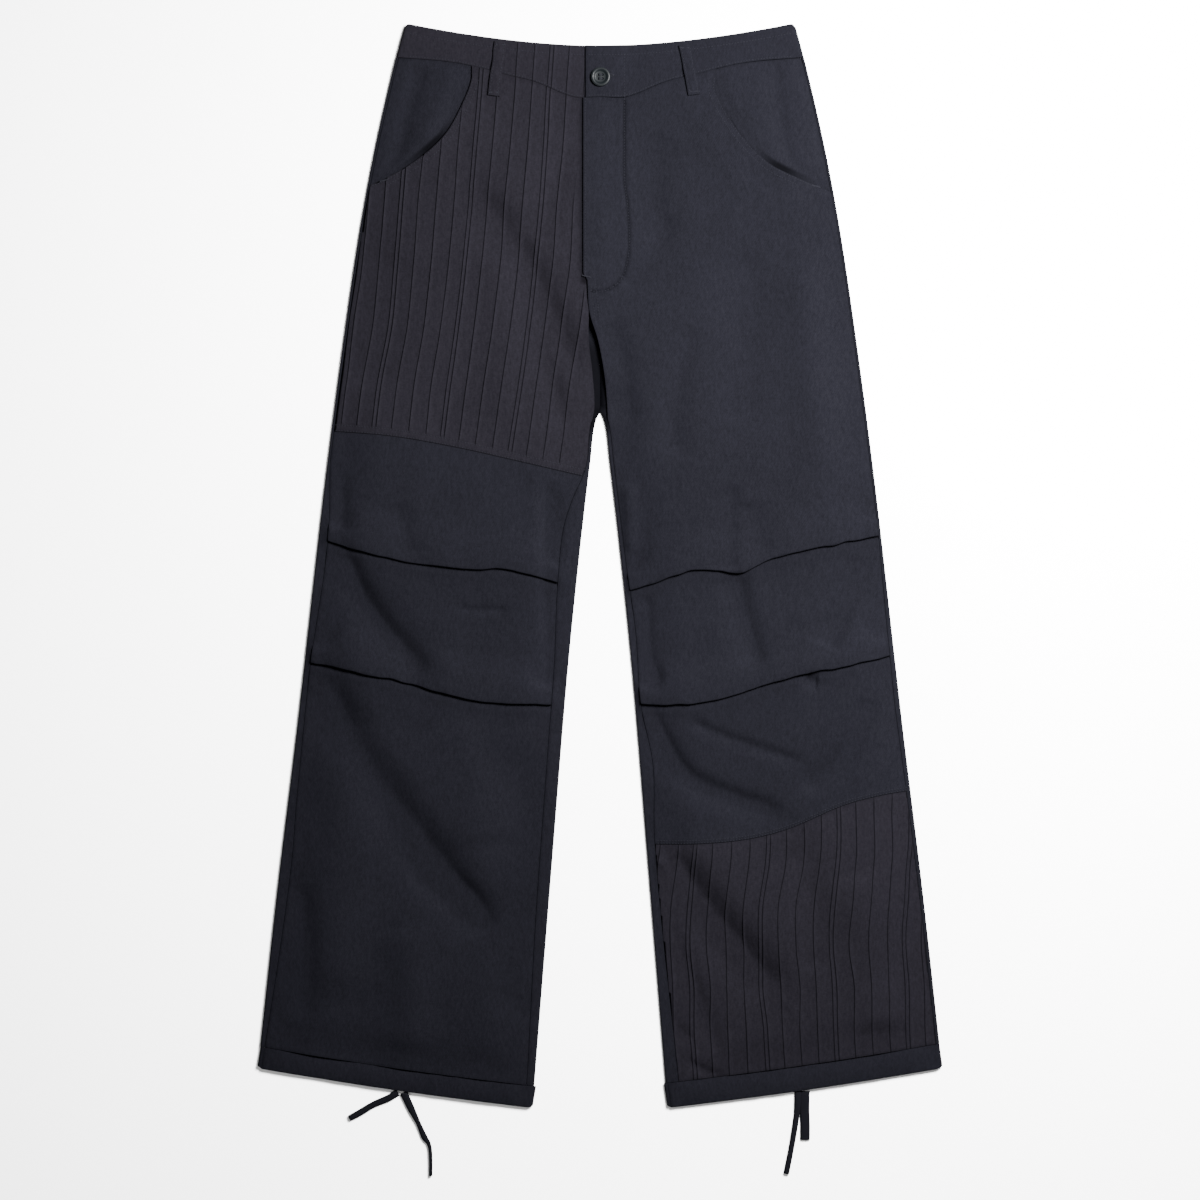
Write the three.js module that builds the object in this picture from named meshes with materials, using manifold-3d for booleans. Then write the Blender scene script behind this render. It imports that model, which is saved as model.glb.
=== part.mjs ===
// Wide-leg trousers laid flat with the front up, in millimetres.
// X runs to the wearer's left, Y to the waist and Z up from the surface below.
// The origin is the middle of the outline, on that surface.
import * as THREE from "three";
import { mergeVertices } from "three/addons/utils/BufferGeometryUtils.js";
import Module from "manifold-3d";

const wasm = await Module();
wasm.setup();

// Driving sizes. "down" is the distance below the side corners of the waist.
// "side" is the distance from the centre line, and x is the same with its sign.
const LENGTH = 1085;
const WAIST_HALF = 195;
const WAIST_DIP = 22.7;
const WAIST_CURVE = 1.75;
const WAIST_CORNER = 4;
const CROTCH = 388;
const INSEAM_START = 397;
const CLOTH = 1.2;
const SLIVER = 0.03;
const BAND_CLOTH = 1.6;
const HEM_CLOTH = 1.6;
const GAP = 0.3;
const PITCH = CLOTH + GAP;
const ROLL_TURNS = 3;

// Height of the front cloth's inside where it leaves the rolled edge of a leg,
// and of the pocket facing's underside.
const FRONT = 2.2;
const FACING = 1.6;
const BAND_BACK = 2.6;
const BAND_FRONT = BAND_BACK + GAP;
const WAIST_RISE = 0.8;
const WAIST_RISE_REACH = 45;
const LOFT = 1;
const LOFT_REACH = 42;
const LOFT_AT_HEM = 0.4;
const LOFT_FROM_BAND = 90;
const LOFT_FROM_HEM = 40;
const FOLD_FROM_EDGE = 12;

// The knee tucks: cloth folded back on itself, the upper part over the lower.
const TUCK_DEPTH = 12;
const TUCK_RAMP = 14;
const TUCK_TOP = 2 * PITCH;

// Pintucks stand proud of the wall's outer face.
const RIDGE = 0.9;
const RIDGE_FOOT = 1.5;
const TWIN_APART = 2;
const TWIN_DIP = 0.2;
const FELL = 0.4;

const POCKET_UNDERLAP = 12;
const POCKET_LIFT = { full: 26, none: 52 };
const FLY_EDGE = -16.8;
const FLY_UNDERLAP = -6;
const FLY_END = 255;
const FLY_LIFT = { fullX: -2, noneX: 26, fullDown: 268, noneDown: 300 };
const LAP_MARGIN = 0.25;
const BAND_EDGE = -14.4;
const BAND_UNDERLAP = 12;
const BAND_PLEATS_FROM = -112;
const BAND_STEP = { from: 14, to: 36 };

const HEM_TOP_SIDE = 70;
const HEM_SLOPE = 0.145;
const HEM_BOW = 2;
const HEM_CORNER = 6;
const HEM_TALL = { right: 22, left: 25 };

const BUTTON_ACROSS = 19.3;
const BUTTON_THICK = 3.2;
const BUTTON_DOWN = 54.3;
const LOOP_WIDE = 12;

// The leg's outer edge and its inner edge, as the sides of the flat outline.
const OUTER_EDGE = [
  { down: 0, side: 195 },
  { down: 41, side: 206 },
  { down: 126, side: 225.5 },
  { down: 207, side: 240.5 },
  { down: 337, side: 259.5 },
  { down: 457, side: 275 },
  { down: 707, side: 303.5 },
  { down: 867, side: 323 },
  { down: 1046, side: 342.6 },
];
const INNER_EDGE = [
  { down: 388, side: 0.15 },
  { down: 397, side: 4 },
  { down: 438, side: 9.5 },
  { down: 528, side: 20 },
  { down: 646, side: 32 },
  { down: 839, side: 47.8 },
  { down: 1085, side: 67.5 },
];
const BAND_SEAM = [
  { side: 0, down: 74 },
  { side: 25, down: 74 },
  { side: 67, down: 58 },
  { side: 92, down: 52 },
  { side: 142, down: 40 },
  { side: 206, down: 34 },
];

// How far the side seam and the inseam lie in from the leg's edges, on the front.
const SIDE_INSET = {
  right: [
    { down: 440, inset: 2.6 },
    { down: 512, inset: 9.5 },
    { down: 650, inset: 6 },
    { down: 780, inset: 8.5 },
    { down: 835, inset: 11 },
    { down: 925, inset: 9.4 },
    { down: 1022, inset: 4.8 },
  ],
  left: [
    { down: 500, inset: 2.6 },
    { down: 568, inset: 4 },
    { down: 681, inset: 5.5 },
    { down: 760, inset: 4.5 },
    { down: 1022, inset: 3.5 },
  ],
};
const INSEAM_INSET = {
  right: [
    { down: 397, inset: 3.7 },
    { down: 447, inset: 4.4 },
    { down: 477, inset: 13.5 },
    { down: 503, inset: 18.7 },
    { down: 553, inset: 19 },
    { down: 645, inset: 14 },
    { down: 723, inset: 13.2 },
    { down: 890, inset: 12 },
    { down: 1050, inset: 7.8 },
  ],
  left: [
    { down: 397, inset: 3.7 },
    { down: 540, inset: 4.5 },
    { down: 609, inset: 7 },
    { down: 681, inset: 5.5 },
    { down: 741, inset: 12.6 },
    { down: 813, inset: 8.5 },
    { down: 1059, inset: 13 },
  ],
};

// The fronts' edges from the fly's end to the crotch, where they part.
const CENTRE_EDGE = {
  right: [
    { down: 258, x: -13.3 },
    { down: 290, x: -11 },
    { down: 313, x: -11.5 },
    { down: 351, x: -7.5 },
    { down: 385, x: -5.6 },
    { down: 397, x: -7.7 },
  ],
  left: [
    { down: 258, x: -12.7 },
    { down: 290, x: -10.4 },
    { down: 318, x: -2 },
    { down: 354, x: 4.6 },
    { down: 387, x: 7.4 },
    { down: 397, x: 7.7 },
  ],
};

const POCKET = {
  right: [
    { x: -128, down: 56 },
    { x: -134, down: 73 },
    { x: -153, down: 110 },
    { x: -180, down: 135.5 },
    { x: -215, down: 156 },
    { x: -232, down: 162.5 },
  ],
  left: [
    { x: 115.5, down: 56 },
    { x: 117, down: 73 },
    { x: 140.7, down: 112 },
    { x: 167.5, down: 140 },
    { x: 194, down: 154 },
    { x: 234.5, down: 170 },
  ],
};

// Seams that cross the fronts. The felled strip lies between seam and stitch.
const THIGH_SEAM = [
  { x: -270, down: 408 },
  { x: -204, down: 414 },
  { x: -138, down: 425.8 },
  { x: -95, down: 435.4 },
  { x: -16, down: 453.5 },
  { x: 0, down: 457 },
];
const THIGH_FELL = 7.5;
const CUFF_SEAM = [
  { x: 48, down: 821.5 },
  { x: 102, down: 820.5 },
  { x: 150, down: 815.7 },
  { x: 186, down: 806.6 },
  { x: 246, down: 781.4 },
  { x: 284, down: 771.8 },
  { x: 315, down: 767 },
];

// The fold line of each knee tuck.
const TUCKS = {
  right: [
    [
      { x: -290, down: 512 },
      { x: -251, down: 524 },
      { x: -188, down: 539.3 },
      { x: -132, down: 545.7 },
      { x: -94, down: 546.2 },
      { x: -44.6, down: 558.3 },
      { x: -20, down: 566 },
    ],
    [
      { x: -310, down: 634 },
      { x: -233, down: 650.8 },
      { x: -183, down: 662 },
      { x: -132, down: 676 },
      { x: -94, down: 680 },
      { x: -20, down: 681 },
    ],
  ],
  left: [
    [
      { x: 20, down: 569.8 },
      { x: 48, down: 561 },
      { x: 91, down: 547.8 },
      { x: 117, down: 547 },
      { x: 141, down: 549 },
      { x: 173, down: 534.6 },
      { x: 216, down: 525 },
      { x: 290, down: 510.5 },
    ],
    [
      { x: 25, down: 681 },
      { x: 84, down: 681 },
      { x: 132, down: 672 },
      { x: 178, down: 657 },
      { x: 240, down: 643.8 },
      { x: 305, down: 629 },
    ],
  ],
};

// Pintucks run down the cloth: where the first twin line lies, and the spacing.
const THIGH_PLEATS = {
  lean: [
    { down: 20, x: -47 },
    { down: 127, x: -55 },
    { down: 277, x: -69 },
    { down: 402, x: -86.5 },
    { down: 470, x: -97 },
  ],
  spacing: 17.3,
  first: -10,
  last: 2,
};
const CUFF_PLEATS = {
  lean: [
    { down: 760, x: 167 },
    { down: 822, x: 168 },
    { down: 897, x: 160.8 },
    { down: 960, x: 163 },
    { down: 1065, x: 168 },
  ],
  spacing: 17.9,
  first: -6,
  last: 9,
};
const TWIN_EVERY = 4;

// Rows at which the rolled edges and the panels beside them have their corners.
const EDGE_ROWS = [
  20, 48, 80, 120, 200, 258, 290, 318, 351, 372, 382, 386, 397, 412, 432, 447, 454, 462, 477, 490, 503,
  528, 553, 600, 645, 681, 712, 741, 780, 825, 880, 925, 970, 1022, 1070, 1100,
];
const SEAM_STEP = 15;

// The largest folds of the front: a soft bend through three places.
const FOLDS = [
  { x: -259, down: 530, midX: -223, midDown: 596, endX: -172, endDown: 652, width: 17, rise: -0.9 },
  { x: -279, down: 657, midX: -205, midDown: 785, endX: -115, endDown: 904, width: 26, rise: -1 },
  { x: -52, down: 457, midX: -50, midDown: 570, endX: -47, endDown: 677, width: 11, rise: -0.8 },
  { x: -240, down: 700, midX: -250, midDown: 830, endX: -262, endDown: 980, width: 32, rise: 0.7 },
  { x: -95, down: 207, midX: -55, midDown: 290, endX: -45, endDown: 427, width: 18, rise: -0.7 },
  { x: 129, down: 470, midX: 128, midDown: 520, endX: 128.5, endDown: 547, width: 9, rise: -0.9 },
  { x: 133, down: 549, midX: 145, midDown: 600, endX: 158, endDown: 645, width: 15, rise: -0.9 },
  { x: 266, down: 535, midX: 240, midDown: 597, endX: 228, endDown: 626, width: 15, rise: -0.8 },
  { x: 46, down: 690, midX: 90, midDown: 755, endX: 182, endDown: 791, width: 14, rise: -1 },
  { x: 271, down: 676, midX: 250, midDown: 730, endX: 204, endDown: 767, width: 13, rise: -0.9 },
  { x: 78, down: 833, midX: 130, midDown: 905, endX: 179, endDown: 977, width: 22, rise: -0.9 },
  { x: 91, down: 300, midX: 77, midDown: 368, endX: 74, endDown: 436, width: 16, rise: -0.6 },
  { x: 250, down: 850, midX: 270, midDown: 930, endX: 275, endDown: 1010, width: 28, rise: 0.6 },
];
const FOLD_STEPS = 6;

// The drawcord's free tails, which lie on the surface below: x, y and z.
const CORD_FACETS = 8;
const CORDS = {
  cord_tail_right_a: {
    wide: 4.6,
    thick: 2.4,
    route: [
      [-202.5, -527.4, 1.3],
      [-212, -533.2, 1.3],
      [-227.4, -540, 1.3],
      [-240, -547.5, 1.3],
      [-251, -553.4, 1.3],
    ],
  },
  cord_tail_right_b: {
    wide: 4.2,
    thick: 2.8,
    route: [
      [-196.6, -527.6, 1.5],
      [-189, -544, 1.5],
      [-182, -558, 1.5],
      [-176, -572, 1.5],
      [-171, -580, 1.5],
      [-169.5, -592.6, 1.5],
      [-169.5, -611, 1.5],
    ],
  },
  cord_tail_left_a: {
    wide: 8,
    thick: 2,
    route: [
      [205, -526.3, 1.1],
      [204.8, -537, 1.1],
      [205, -548, 1.1],
      [205.4, -562, 1.1],
      [205.3, -575, 1.1],
    ],
  },
  cord_tail_left_b: {
    wide: 4.4,
    thick: 2.8,
    route: [
      [198, -526.5, 1.5],
      [197.6, -542, 1.5],
      [196.4, -554, 1.5],
      [192, -581, 1.5],
      [186.5, -609, 1.5],
    ],
  },
};

const FINISH = {
  twill: new THREE.MeshStandardMaterial({ color: 0x2b2e38, roughness: 0.85, metalness: 0 }),
  pleated: new THREE.MeshStandardMaterial({ color: 0x292630, roughness: 0.88, metalness: 0 }),
  button: new THREE.MeshStandardMaterial({ color: 0x14171a, roughness: 0.3, metalness: 0 }),
};

// Height above the origin's level line of a place given by its distance down.
function up(down) {
  return LENGTH / 2 - down;
}

// A smooth curve through a table's rows, read along one column.
function through(rows, from, to) {
  const places = Float32Array.from(rows, (row) => row[from]);
  const values = Float32Array.from(rows, (row) => row[to]);
  const table = new THREE.CubicInterpolant(places, values, 1);
  return (place) => table.evaluate(place)[0];
}

function smooth(low, high, value) {
  return THREE.MathUtils.smoothstep(value, low, high);
}

// count + 1 values from one number to another.
function steps(from, to, count) {
  return Array.from({ length: count + 1 }, (_, i) => from + ((to - from) * i) / count);
}

// Two ends and those of the given values that lie between them, in order.
function between(from, to, values) {
  const low = Math.min(from, to) + 0.5;
  const high = Math.max(from, to) - 0.5;
  const inside = values.filter((value) => value > low && value < high);
  return [from, ...(from < to ? inside : inside.reverse()), to];
}

const SEAM_PLACES = steps(-360, 360, 720 / SEAM_STEP);

const outerEdge = through(OUTER_EDGE, "down", "side");
const innerEdge = through(INNER_EDGE, "down", "side");
const bandSeamBySide = through(BAND_SEAM, "side", "down");
const thighSeam = through(THIGH_SEAM, "x", "down");
const cuffSeam = through(CUFF_SEAM, "x", "down");
const sideInset = {
  right: through(SIDE_INSET.right, "down", "inset"),
  left: through(SIDE_INSET.left, "down", "inset"),
};
const inseamInset = {
  right: through(INSEAM_INSET.right, "down", "inset"),
  left: through(INSEAM_INSET.left, "down", "inset"),
};
const centreEdge = {
  right: through(CENTRE_EDGE.right, "down", "x"),
  left: through(CENTRE_EDGE.left, "down", "x"),
};
const SIGN = { right: -1, left: 1 };

function waistTop(x) {
  return WAIST_DIP * (1 - Math.min(1, Math.abs(x) / WAIST_HALF) ** WAIST_CURVE);
}

function bandSeam(x) {
  return bandSeamBySide(Math.abs(x));
}

function hemEdge(x) {
  const side = Math.abs(x) - HEM_TOP_SIDE;
  const bow = HEM_BOW * Math.sin(Math.PI * THREE.MathUtils.clamp(side / 272, 0, 1));
  return LENGTH - HEM_SLOPE * side + bow;
}

function hemSeam(leg) {
  return (x) => hemEdge(x) - HEM_TALL[leg];
}

// The x of the side seam and of the inseam, where the back ends on the front.
function sideSeam(leg) {
  return (down) => SIGN[leg] * (outerEdge(down) - sideInset[leg](down));
}

function inseam(leg) {
  return (down) => SIGN[leg] * (innerEdge(down) + inseamInset[leg](down));
}

// The front's edge at the centre: under or over the fly, then down to the inseam.
function frontCentre(leg) {
  const atFly = leg === "right" ? FLY_UNDERLAP : FLY_EDGE;
  return (down) => {
    if (down < FLY_END) return atFly;
    if (down < INSEAM_START) return centreEdge[leg](down);
    return inseam(leg)(down) + SIGN[leg] * GAP;
  };
}

// The points of a soft bend through three places.
function bend(fold) {
  const curve = new THREE.SplineCurve([
    new THREE.Vector2(fold.x, fold.down),
    new THREE.Vector2(fold.midX, fold.midDown),
    new THREE.Vector2(fold.endX, fold.endDown),
  ]);
  return curve.getPoints(FOLD_STEPS);
}

// The least distance from a place to a line of points.
function distance(place, points) {
  const nearest = new THREE.Vector3();
  let least = Infinity;
  for (let i = 0; i + 1 < points.length; i += 1) {
    const line = new THREE.Line3(
      new THREE.Vector3(points[i].x, points[i].y, 0),
      new THREE.Vector3(points[i + 1].x, points[i + 1].y, 0),
    );
    line.closestPointToPoint(place, true, nearest);
    least = Math.min(least, nearest.distanceTo(place));
  }
  return least;
}

const foldLines = FOLDS.map((fold) => ({ ...fold, points: bend(fold) }));
const pocketLine = {};
for (const leg of ["right", "left"]) {
  const places = POCKET[leg].map((row) => new THREE.Vector2(row.x, row.down));
  pocketLine[leg] = new THREE.SplineCurve(places).getPoints(14);
}

function waistRise(x, down) {
  return WAIST_RISE * (1 - smooth(0, WAIST_RISE_REACH, down - bandSeam(x)));
}

// How far the front cloth stands above its level at the rolled edges.
function lift(x, down) {
  const side = Math.abs(x);
  const toOuter = outerEdge(down) - side;
  const toInner = side - innerEdge(down) + Math.max(0, CROTCH - down);
  const toEdge = Math.min(toOuter, toInner);
  const fromBand = smooth(0, LOFT_FROM_BAND, down - bandSeam(x));
  const fromHem = smooth(0, LOFT_FROM_HEM, hemEdge(x) - HEM_TALL.left - down);
  let height = LOFT * smooth(0, LOFT_REACH, toEdge);
  height *= fromBand * THREE.MathUtils.lerp(LOFT_AT_HEM, 1, fromHem);
  const place = new THREE.Vector3(x, down, 0);
  for (const fold of foldLines) {
    const away = distance(place, fold.points) / fold.width;
    height += fold.rise * smooth(0, FOLD_FROM_EDGE, toEdge) * Math.exp(-away * away);
  }
  return Math.max(0, height) + waistRise(x, down);
}

// The front lies over the pocket facing, and eases down beyond it.
function pocketLift(leg, x, down) {
  const away = distance(new THREE.Vector3(x, down, 0), pocketLine[leg]);
  const height = FACING + PITCH + LAP_MARGIN - FRONT;
  return height * (1 - smooth(POCKET_LIFT.full, POCKET_LIFT.none, away));
}

// The left front lies over the right one at the fly.
function flyLift(x, down) {
  const across = 1 - smooth(FLY_LIFT.fullX, FLY_LIFT.noneX, x);
  return (PITCH + LAP_MARGIN) * across * (1 - smooth(FLY_LIFT.fullDown, FLY_LIFT.noneDown, down));
}

// A three.js geometry as a solid, with shared corners merged.
function solid(geometry) {
  const bare = geometry.clone();
  bare.deleteAttribute("normal");
  bare.deleteAttribute("uv");
  const merged = mergeVertices(bare, 1e-4);
  return new wasm.Manifold(
    new wasm.Mesh({
      numProp: 3,
      vertProperties: new Float32Array(merged.attributes.position.array),
      triVerts: new Uint32Array(merged.index.array),
    }),
  );
}

// A closed wall between two grids of points. Rows run down and columns run
// to +x on the front; a ring's last column joins its first.
function wall(outer, inner, ring = false) {
  const rows = outer.length;
  const columns = outer[0].length;
  const index = [];
  const at = (layer, row, column) => (layer * rows + row) * columns + (column % columns);
  const quad = (a, b, c, d) => index.push(a, b, c, a, c, d);
  const last = ring ? columns : columns - 1;
  for (let c = 0; c < last; c += 1) {
    for (let r = 0; r + 1 < rows; r += 1) {
      quad(at(0, r, c), at(0, r + 1, c), at(0, r + 1, c + 1), at(0, r, c + 1));
      quad(at(1, r, c), at(1, r, c + 1), at(1, r + 1, c + 1), at(1, r + 1, c));
    }
    quad(at(0, 0, c), at(0, 0, c + 1), at(1, 0, c + 1), at(1, 0, c));
    quad(at(0, rows - 1, c + 1), at(0, rows - 1, c), at(1, rows - 1, c), at(1, rows - 1, c + 1));
  }
  for (let r = 0; r + 1 < rows && !ring; r += 1) {
    quad(at(0, r + 1, 0), at(0, r, 0), at(1, r, 0), at(1, r + 1, 0));
    quad(at(0, r, last), at(0, r + 1, last), at(1, r + 1, last), at(1, r, last));
  }
  const geometry = new THREE.BufferGeometry();
  geometry.setFromPoints([...outer.flat(), ...inner.flat()]);
  geometry.setIndex(index);
  return solid(geometry);
}

// Unit normals of a line of points in a section, on its left-hand side.
function normals(line) {
  return line.map((_, i) => {
    const before = line[Math.max(0, i - 1)];
    const after = line[Math.min(line.length - 1, i + 1)];
    const along = new THREE.Vector2().subVectors(after, before).normalize();
    return new THREE.Vector2(-along.y, along.x);
  });
}

// An upright block with the given outline, as pairs of x and down.
function prism(outline, low = -3, high = 20) {
  const shape = new THREE.Shape(outline.map(([x, down]) => new THREE.Vector2(x, up(down))));
  const geometry = new THREE.ExtrudeGeometry(shape, { depth: high - low, bevelEnabled: false });
  geometry.translate(0, 0, low);
  return solid(geometry);
}

// The straight stretches of a line between set places, so that neighbours agree.
function chords(line, places) {
  return (at) => {
    const next = THREE.MathUtils.clamp(places.findIndex((place) => place > at), 1, places.length - 1);
    const share = (at - places[next - 1]) / (places[next] - places[next - 1]);
    return THREE.MathUtils.lerp(line(places[next - 1]), line(places[next]), share);
  };
}

// Points along a line that is read by x, or by its distance down.
function byX(line, from, to) {
  const straight = chords(line, SEAM_PLACES);
  return between(from, to, SEAM_PLACES).map((x) => [x, straight(x)]);
}

function byDown(line, from, to) {
  const straight = chords(line, EDGE_ROWS);
  return between(from, to, EDGE_ROWS).map((down) => [straight(down), down]);
}

// The distance down at which an edge read by down meets a seam read by x.
function meeting(edge, seam, start) {
  let down = start;
  for (let i = 0; i < 8; i += 1) down = seam(edge(down));
  return down;
}

// A wall under a surface of columns and rows, with a plain coarser inside.
function heightWall(outline, columns, rows, outside, plainColumns, plainRows, inside) {
  const block = (grid) => {
    const floor = grid.map((row) => row.map((p) => new THREE.Vector3(p.x, p.y, -2)));
    return wall(grid, floor);
  };
  const top = rows.map((row) => columns.map((column) => outside(column, row)));
  const under = plainRows.map((row) => plainColumns.map((column) => inside(column, row)));
  return block(top).subtract(block(under)).intersect(prism(outline));
}

// The middle of a wall that turns over an edge at x; turn is 1 at its right-hand
// side, where it runs from high to low, and -1 at its left-hand side.
function roundEdge(x, low, high, thick, turn) {
  const radius = (high - low) / 2;
  const centre = new THREE.Vector2(x - turn * (thick / 2 + radius), (high + low) / 2);
  return steps(90, -90, ROLL_TURNS).map((angle) => {
    const bearing = THREE.MathUtils.degToRad(turn > 0 ? angle : 180 + angle);
    const reach = new THREE.Vector2(Math.cos(bearing), Math.sin(bearing));
    return reach.multiplyScalar(radius).add(centre);
  });
}

// A section across a back: from the front round an edge, along the surface below,
// and up to the other edge, or to the centre seam above the crotch.
function backSection(leg, down, upper) {
  const low = CLOTH / 2;
  const rise = waistRise(outerEdge(down), down);
  const high = FRONT + CLOTH / 2 + rise;
  const seamX = sideSeam(leg)(down);
  const seamPoint = new THREE.Vector2(seamX, high);
  const outerRoll = roundEdge(SIGN[leg] * outerEdge(down), low, high, CLOTH, SIGN[leg]);
  const inX = upper ? SIGN[leg] * GAP / 2 : inseam(leg)(down);
  const innerEnd = upper
    ? [new THREE.Vector2(inX, low)]
    : roundEdge(SIGN[leg] * innerEdge(down), low, high, CLOTH, -SIGN[leg]);
  const inseamEnd = upper ? [] : [new THREE.Vector2(inX, high)];
  if (leg === "left") return [seamPoint, ...outerRoll, ...innerEnd, ...inseamEnd];
  return [...inseamEnd, ...innerEnd, ...outerRoll, seamPoint];
}

// A wall swept down the garment through a section for each row.
function sweptWall(downs, section, thick, ring = false) {
  const outer = [];
  const inner = [];
  for (const down of downs) {
    const line = section(down);
    const side = normals(line);
    const place = (p, i, way) =>
      new THREE.Vector3(p.x + (side[i].x * thick * way) / 2, up(down), p.y + (side[i].y * thick * way) / 2);
    outer.push(line.map((p, i) => place(p, i, 1)));
    inner.push(line.map((p, i) => place(p, i, -1)));
  }
  return wall(outer, inner, ring);
}

// One back panel: it lies on the surface, and rolls over the edges of its leg
// on to the front, up to the side seam and the inseam.
function backPanel(leg) {
  const hips = EDGE_ROWS.filter((down) => down < CROTCH);
  const legs = EDGE_ROWS.filter((down) => down > CROTCH - 10);
  const high = sweptWall(hips, (down) => backSection(leg, down, true), CLOTH);
  const low = sweptWall(legs, (down) => backSection(leg, down, false), CLOTH);
  const s = SIGN[leg];
  const seam = (x) => bandSeam(x) + GAP / 2;
  const foot = (x) => hemSeam(leg)(x) - GAP / 2;
  const outline = [
    ...byX(seam, 0, s * 206),
    [s * 400, 30],
    [s * 400, 990],
    ...byX(foot, s * 345, s * 40),
    [0, 900],
  ];
  return high.add(low).intersect(prism(outline));
}

// The height of the front's outer face, and of its plain inside.
function frontHeight(leg, x, down) {
  const fly = leg === "left" ? flyLift(x, down) : 0;
  return FRONT + lift(x, down) + pocketLift(leg, x, down) + fly;
}

// Columns across pintucked cloth, each with its share of the ridge's height.
function pleatColumns(pleats, from, to) {
  const columns = [];
  for (let k = pleats.first; k <= pleats.last; k += 1) {
    const middle = k * pleats.spacing;
    const twin = k % TWIN_EVERY === 0;
    if (twin) {
      const foot = TWIN_APART + RIDGE_FOOT;
      columns.push({ at: middle - foot, rise: 0 }, { at: middle - TWIN_APART, rise: 1 });
      columns.push({ at: middle, rise: TWIN_DIP }, { at: middle + TWIN_APART, rise: 1 });
      columns.push({ at: middle + foot, rise: 0 });
    } else {
      columns.push({ at: middle - RIDGE_FOOT, rise: 0 }, { at: middle, rise: 1 });
      columns.push({ at: middle + RIDGE_FOOT, rise: 0 });
    }
  }
  return [{ at: from, rise: 0 }, ...columns, { at: to, rise: 0 }];
}

// A place on pintucked cloth, from its column and its share of the way down.
function onPleats(pleats, column, share, top, foot) {
  const lean = through(pleats.lean, "down", "x");
  let down = (top(column.at) + foot(column.at)) / 2;
  let x = 0;
  for (let i = 0; i < 4; i += 1) {
    x = column.at + lean(down);
    down = top(x) + share * (foot(x) - top(x));
  }
  return { x, down };
}

// The outline of the pintucked right front, from the waist to the thigh seam.
function thighOutline() {
  const top = (x) => bandSeam(x) + GAP / 2;
  const foot = (x) => thighSeam(x) - GAP / 2;
  const edge = (down) => sideSeam("right")(down) + GAP;
  const centre = frontCentre("right");
  const pocketTop = pocketLine.right.filter((p) => p.y > top(p.x));
  const pocketEnd = pocketLine.right.at(-1).y + 1;
  const outerFoot = meeting(edge, foot, 408);
  const innerFoot = meeting(centre, foot, 455);
  return [
    ...byX(top, FLY_UNDERLAP, pocketTop[0].x + 0.5),
    ...pocketTop.filter((p) => p.x > edge(p.y)).map((p) => [p.x, p.y]),
    ...byDown(edge, pocketEnd, outerFoot),
    ...byX(foot, edge(outerFoot) + 10, centre(innerFoot) - 5),
    ...byDown(centre, innerFoot, FLY_END + 1),
    [FLY_UNDERLAP, FLY_END],
  ];
}

function frontRightThigh() {
  const top = (x) => bandSeam(x) - 6;
  const stitch = (x) => thighSeam(x) - THIGH_FELL;
  const ridge = (column, x, down) => {
    const clearOfFly = 1 - smooth(-30, -23, x);
    return RIDGE * column.rise * (down < 270 ? clearOfFly : 1);
  };
  const outside = (column, row) => {
    const place = onPleats(THIGH_PLEATS, column, row.share, top, stitch);
    const down = place.down + row.past;
    const raised = row.fell ? FELL : ridge(column, place.x, down);
    const high = frontHeight("right", place.x, down) + CLOTH + raised;
    return new THREE.Vector3(place.x, up(down), high);
  };
  const inside = (x, row) => {
    const down = top(x) + row * (thighSeam(x) + 8 - top(x));
    return new THREE.Vector3(x, up(down), frontHeight("right", x, down));
  };
  const rows = steps(0, 1, 10).map((share) => ({ share, past: 0 }));
  rows.push({ share: 1, past: 0.8, fell: true }, { share: 1, past: 18, fell: true });
  const columns = pleatColumns(THIGH_PLEATS, -230, 105);
  return heightWall(thighOutline(), columns, rows, outside, steps(-290, 30, 11), steps(0, 1, 9), inside);
}

function frontLeftCuff() {
  const side = (down) => sideSeam("left")(down) - GAP;
  const inner = (down) => inseam("left")(down) + GAP;
  const top = (x) => cuffSeam(x) + GAP / 2;
  const foot = (x) => hemSeam("left")(x) - GAP / 2;
  const sideTop = meeting(side, top, 767);
  const innerTop = meeting(inner, top, 821);
  const sideFoot = meeting(side, foot, 1020);
  const innerFoot = meeting(inner, foot, 1058);
  const outline = [
    ...byX(top, inner(innerTop), side(sideTop) - 8),
    ...byDown(side, sideTop, sideFoot),
    ...byX(foot, side(sideFoot) - 8, inner(innerFoot) + 8),
    ...byDown(inner, innerFoot, innerTop + 8),
  ];
  const above = (x) => cuffSeam(x) - 4;
  const below = (x) => hemSeam("left")(x) + 4;
  const outside = (column, share) => {
    const { x, down } = onPleats(CUFF_PLEATS, column, share, above, below);
    const high = frontHeight("left", x, down) + CLOTH + RIDGE * column.rise;
    return new THREE.Vector3(x, up(down), high);
  };
  const inside = (x, share) => {
    const down = above(x) + share * (below(x) - above(x));
    return new THREE.Vector3(x, up(down), frontHeight("left", x, down));
  };
  const columns = pleatColumns(CUFF_PLEATS, -140, 190);
  return heightWall(outline, columns, steps(0, 1, 7), outside, steps(35, 355, 9), steps(0, 1, 5), inside);
}

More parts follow.
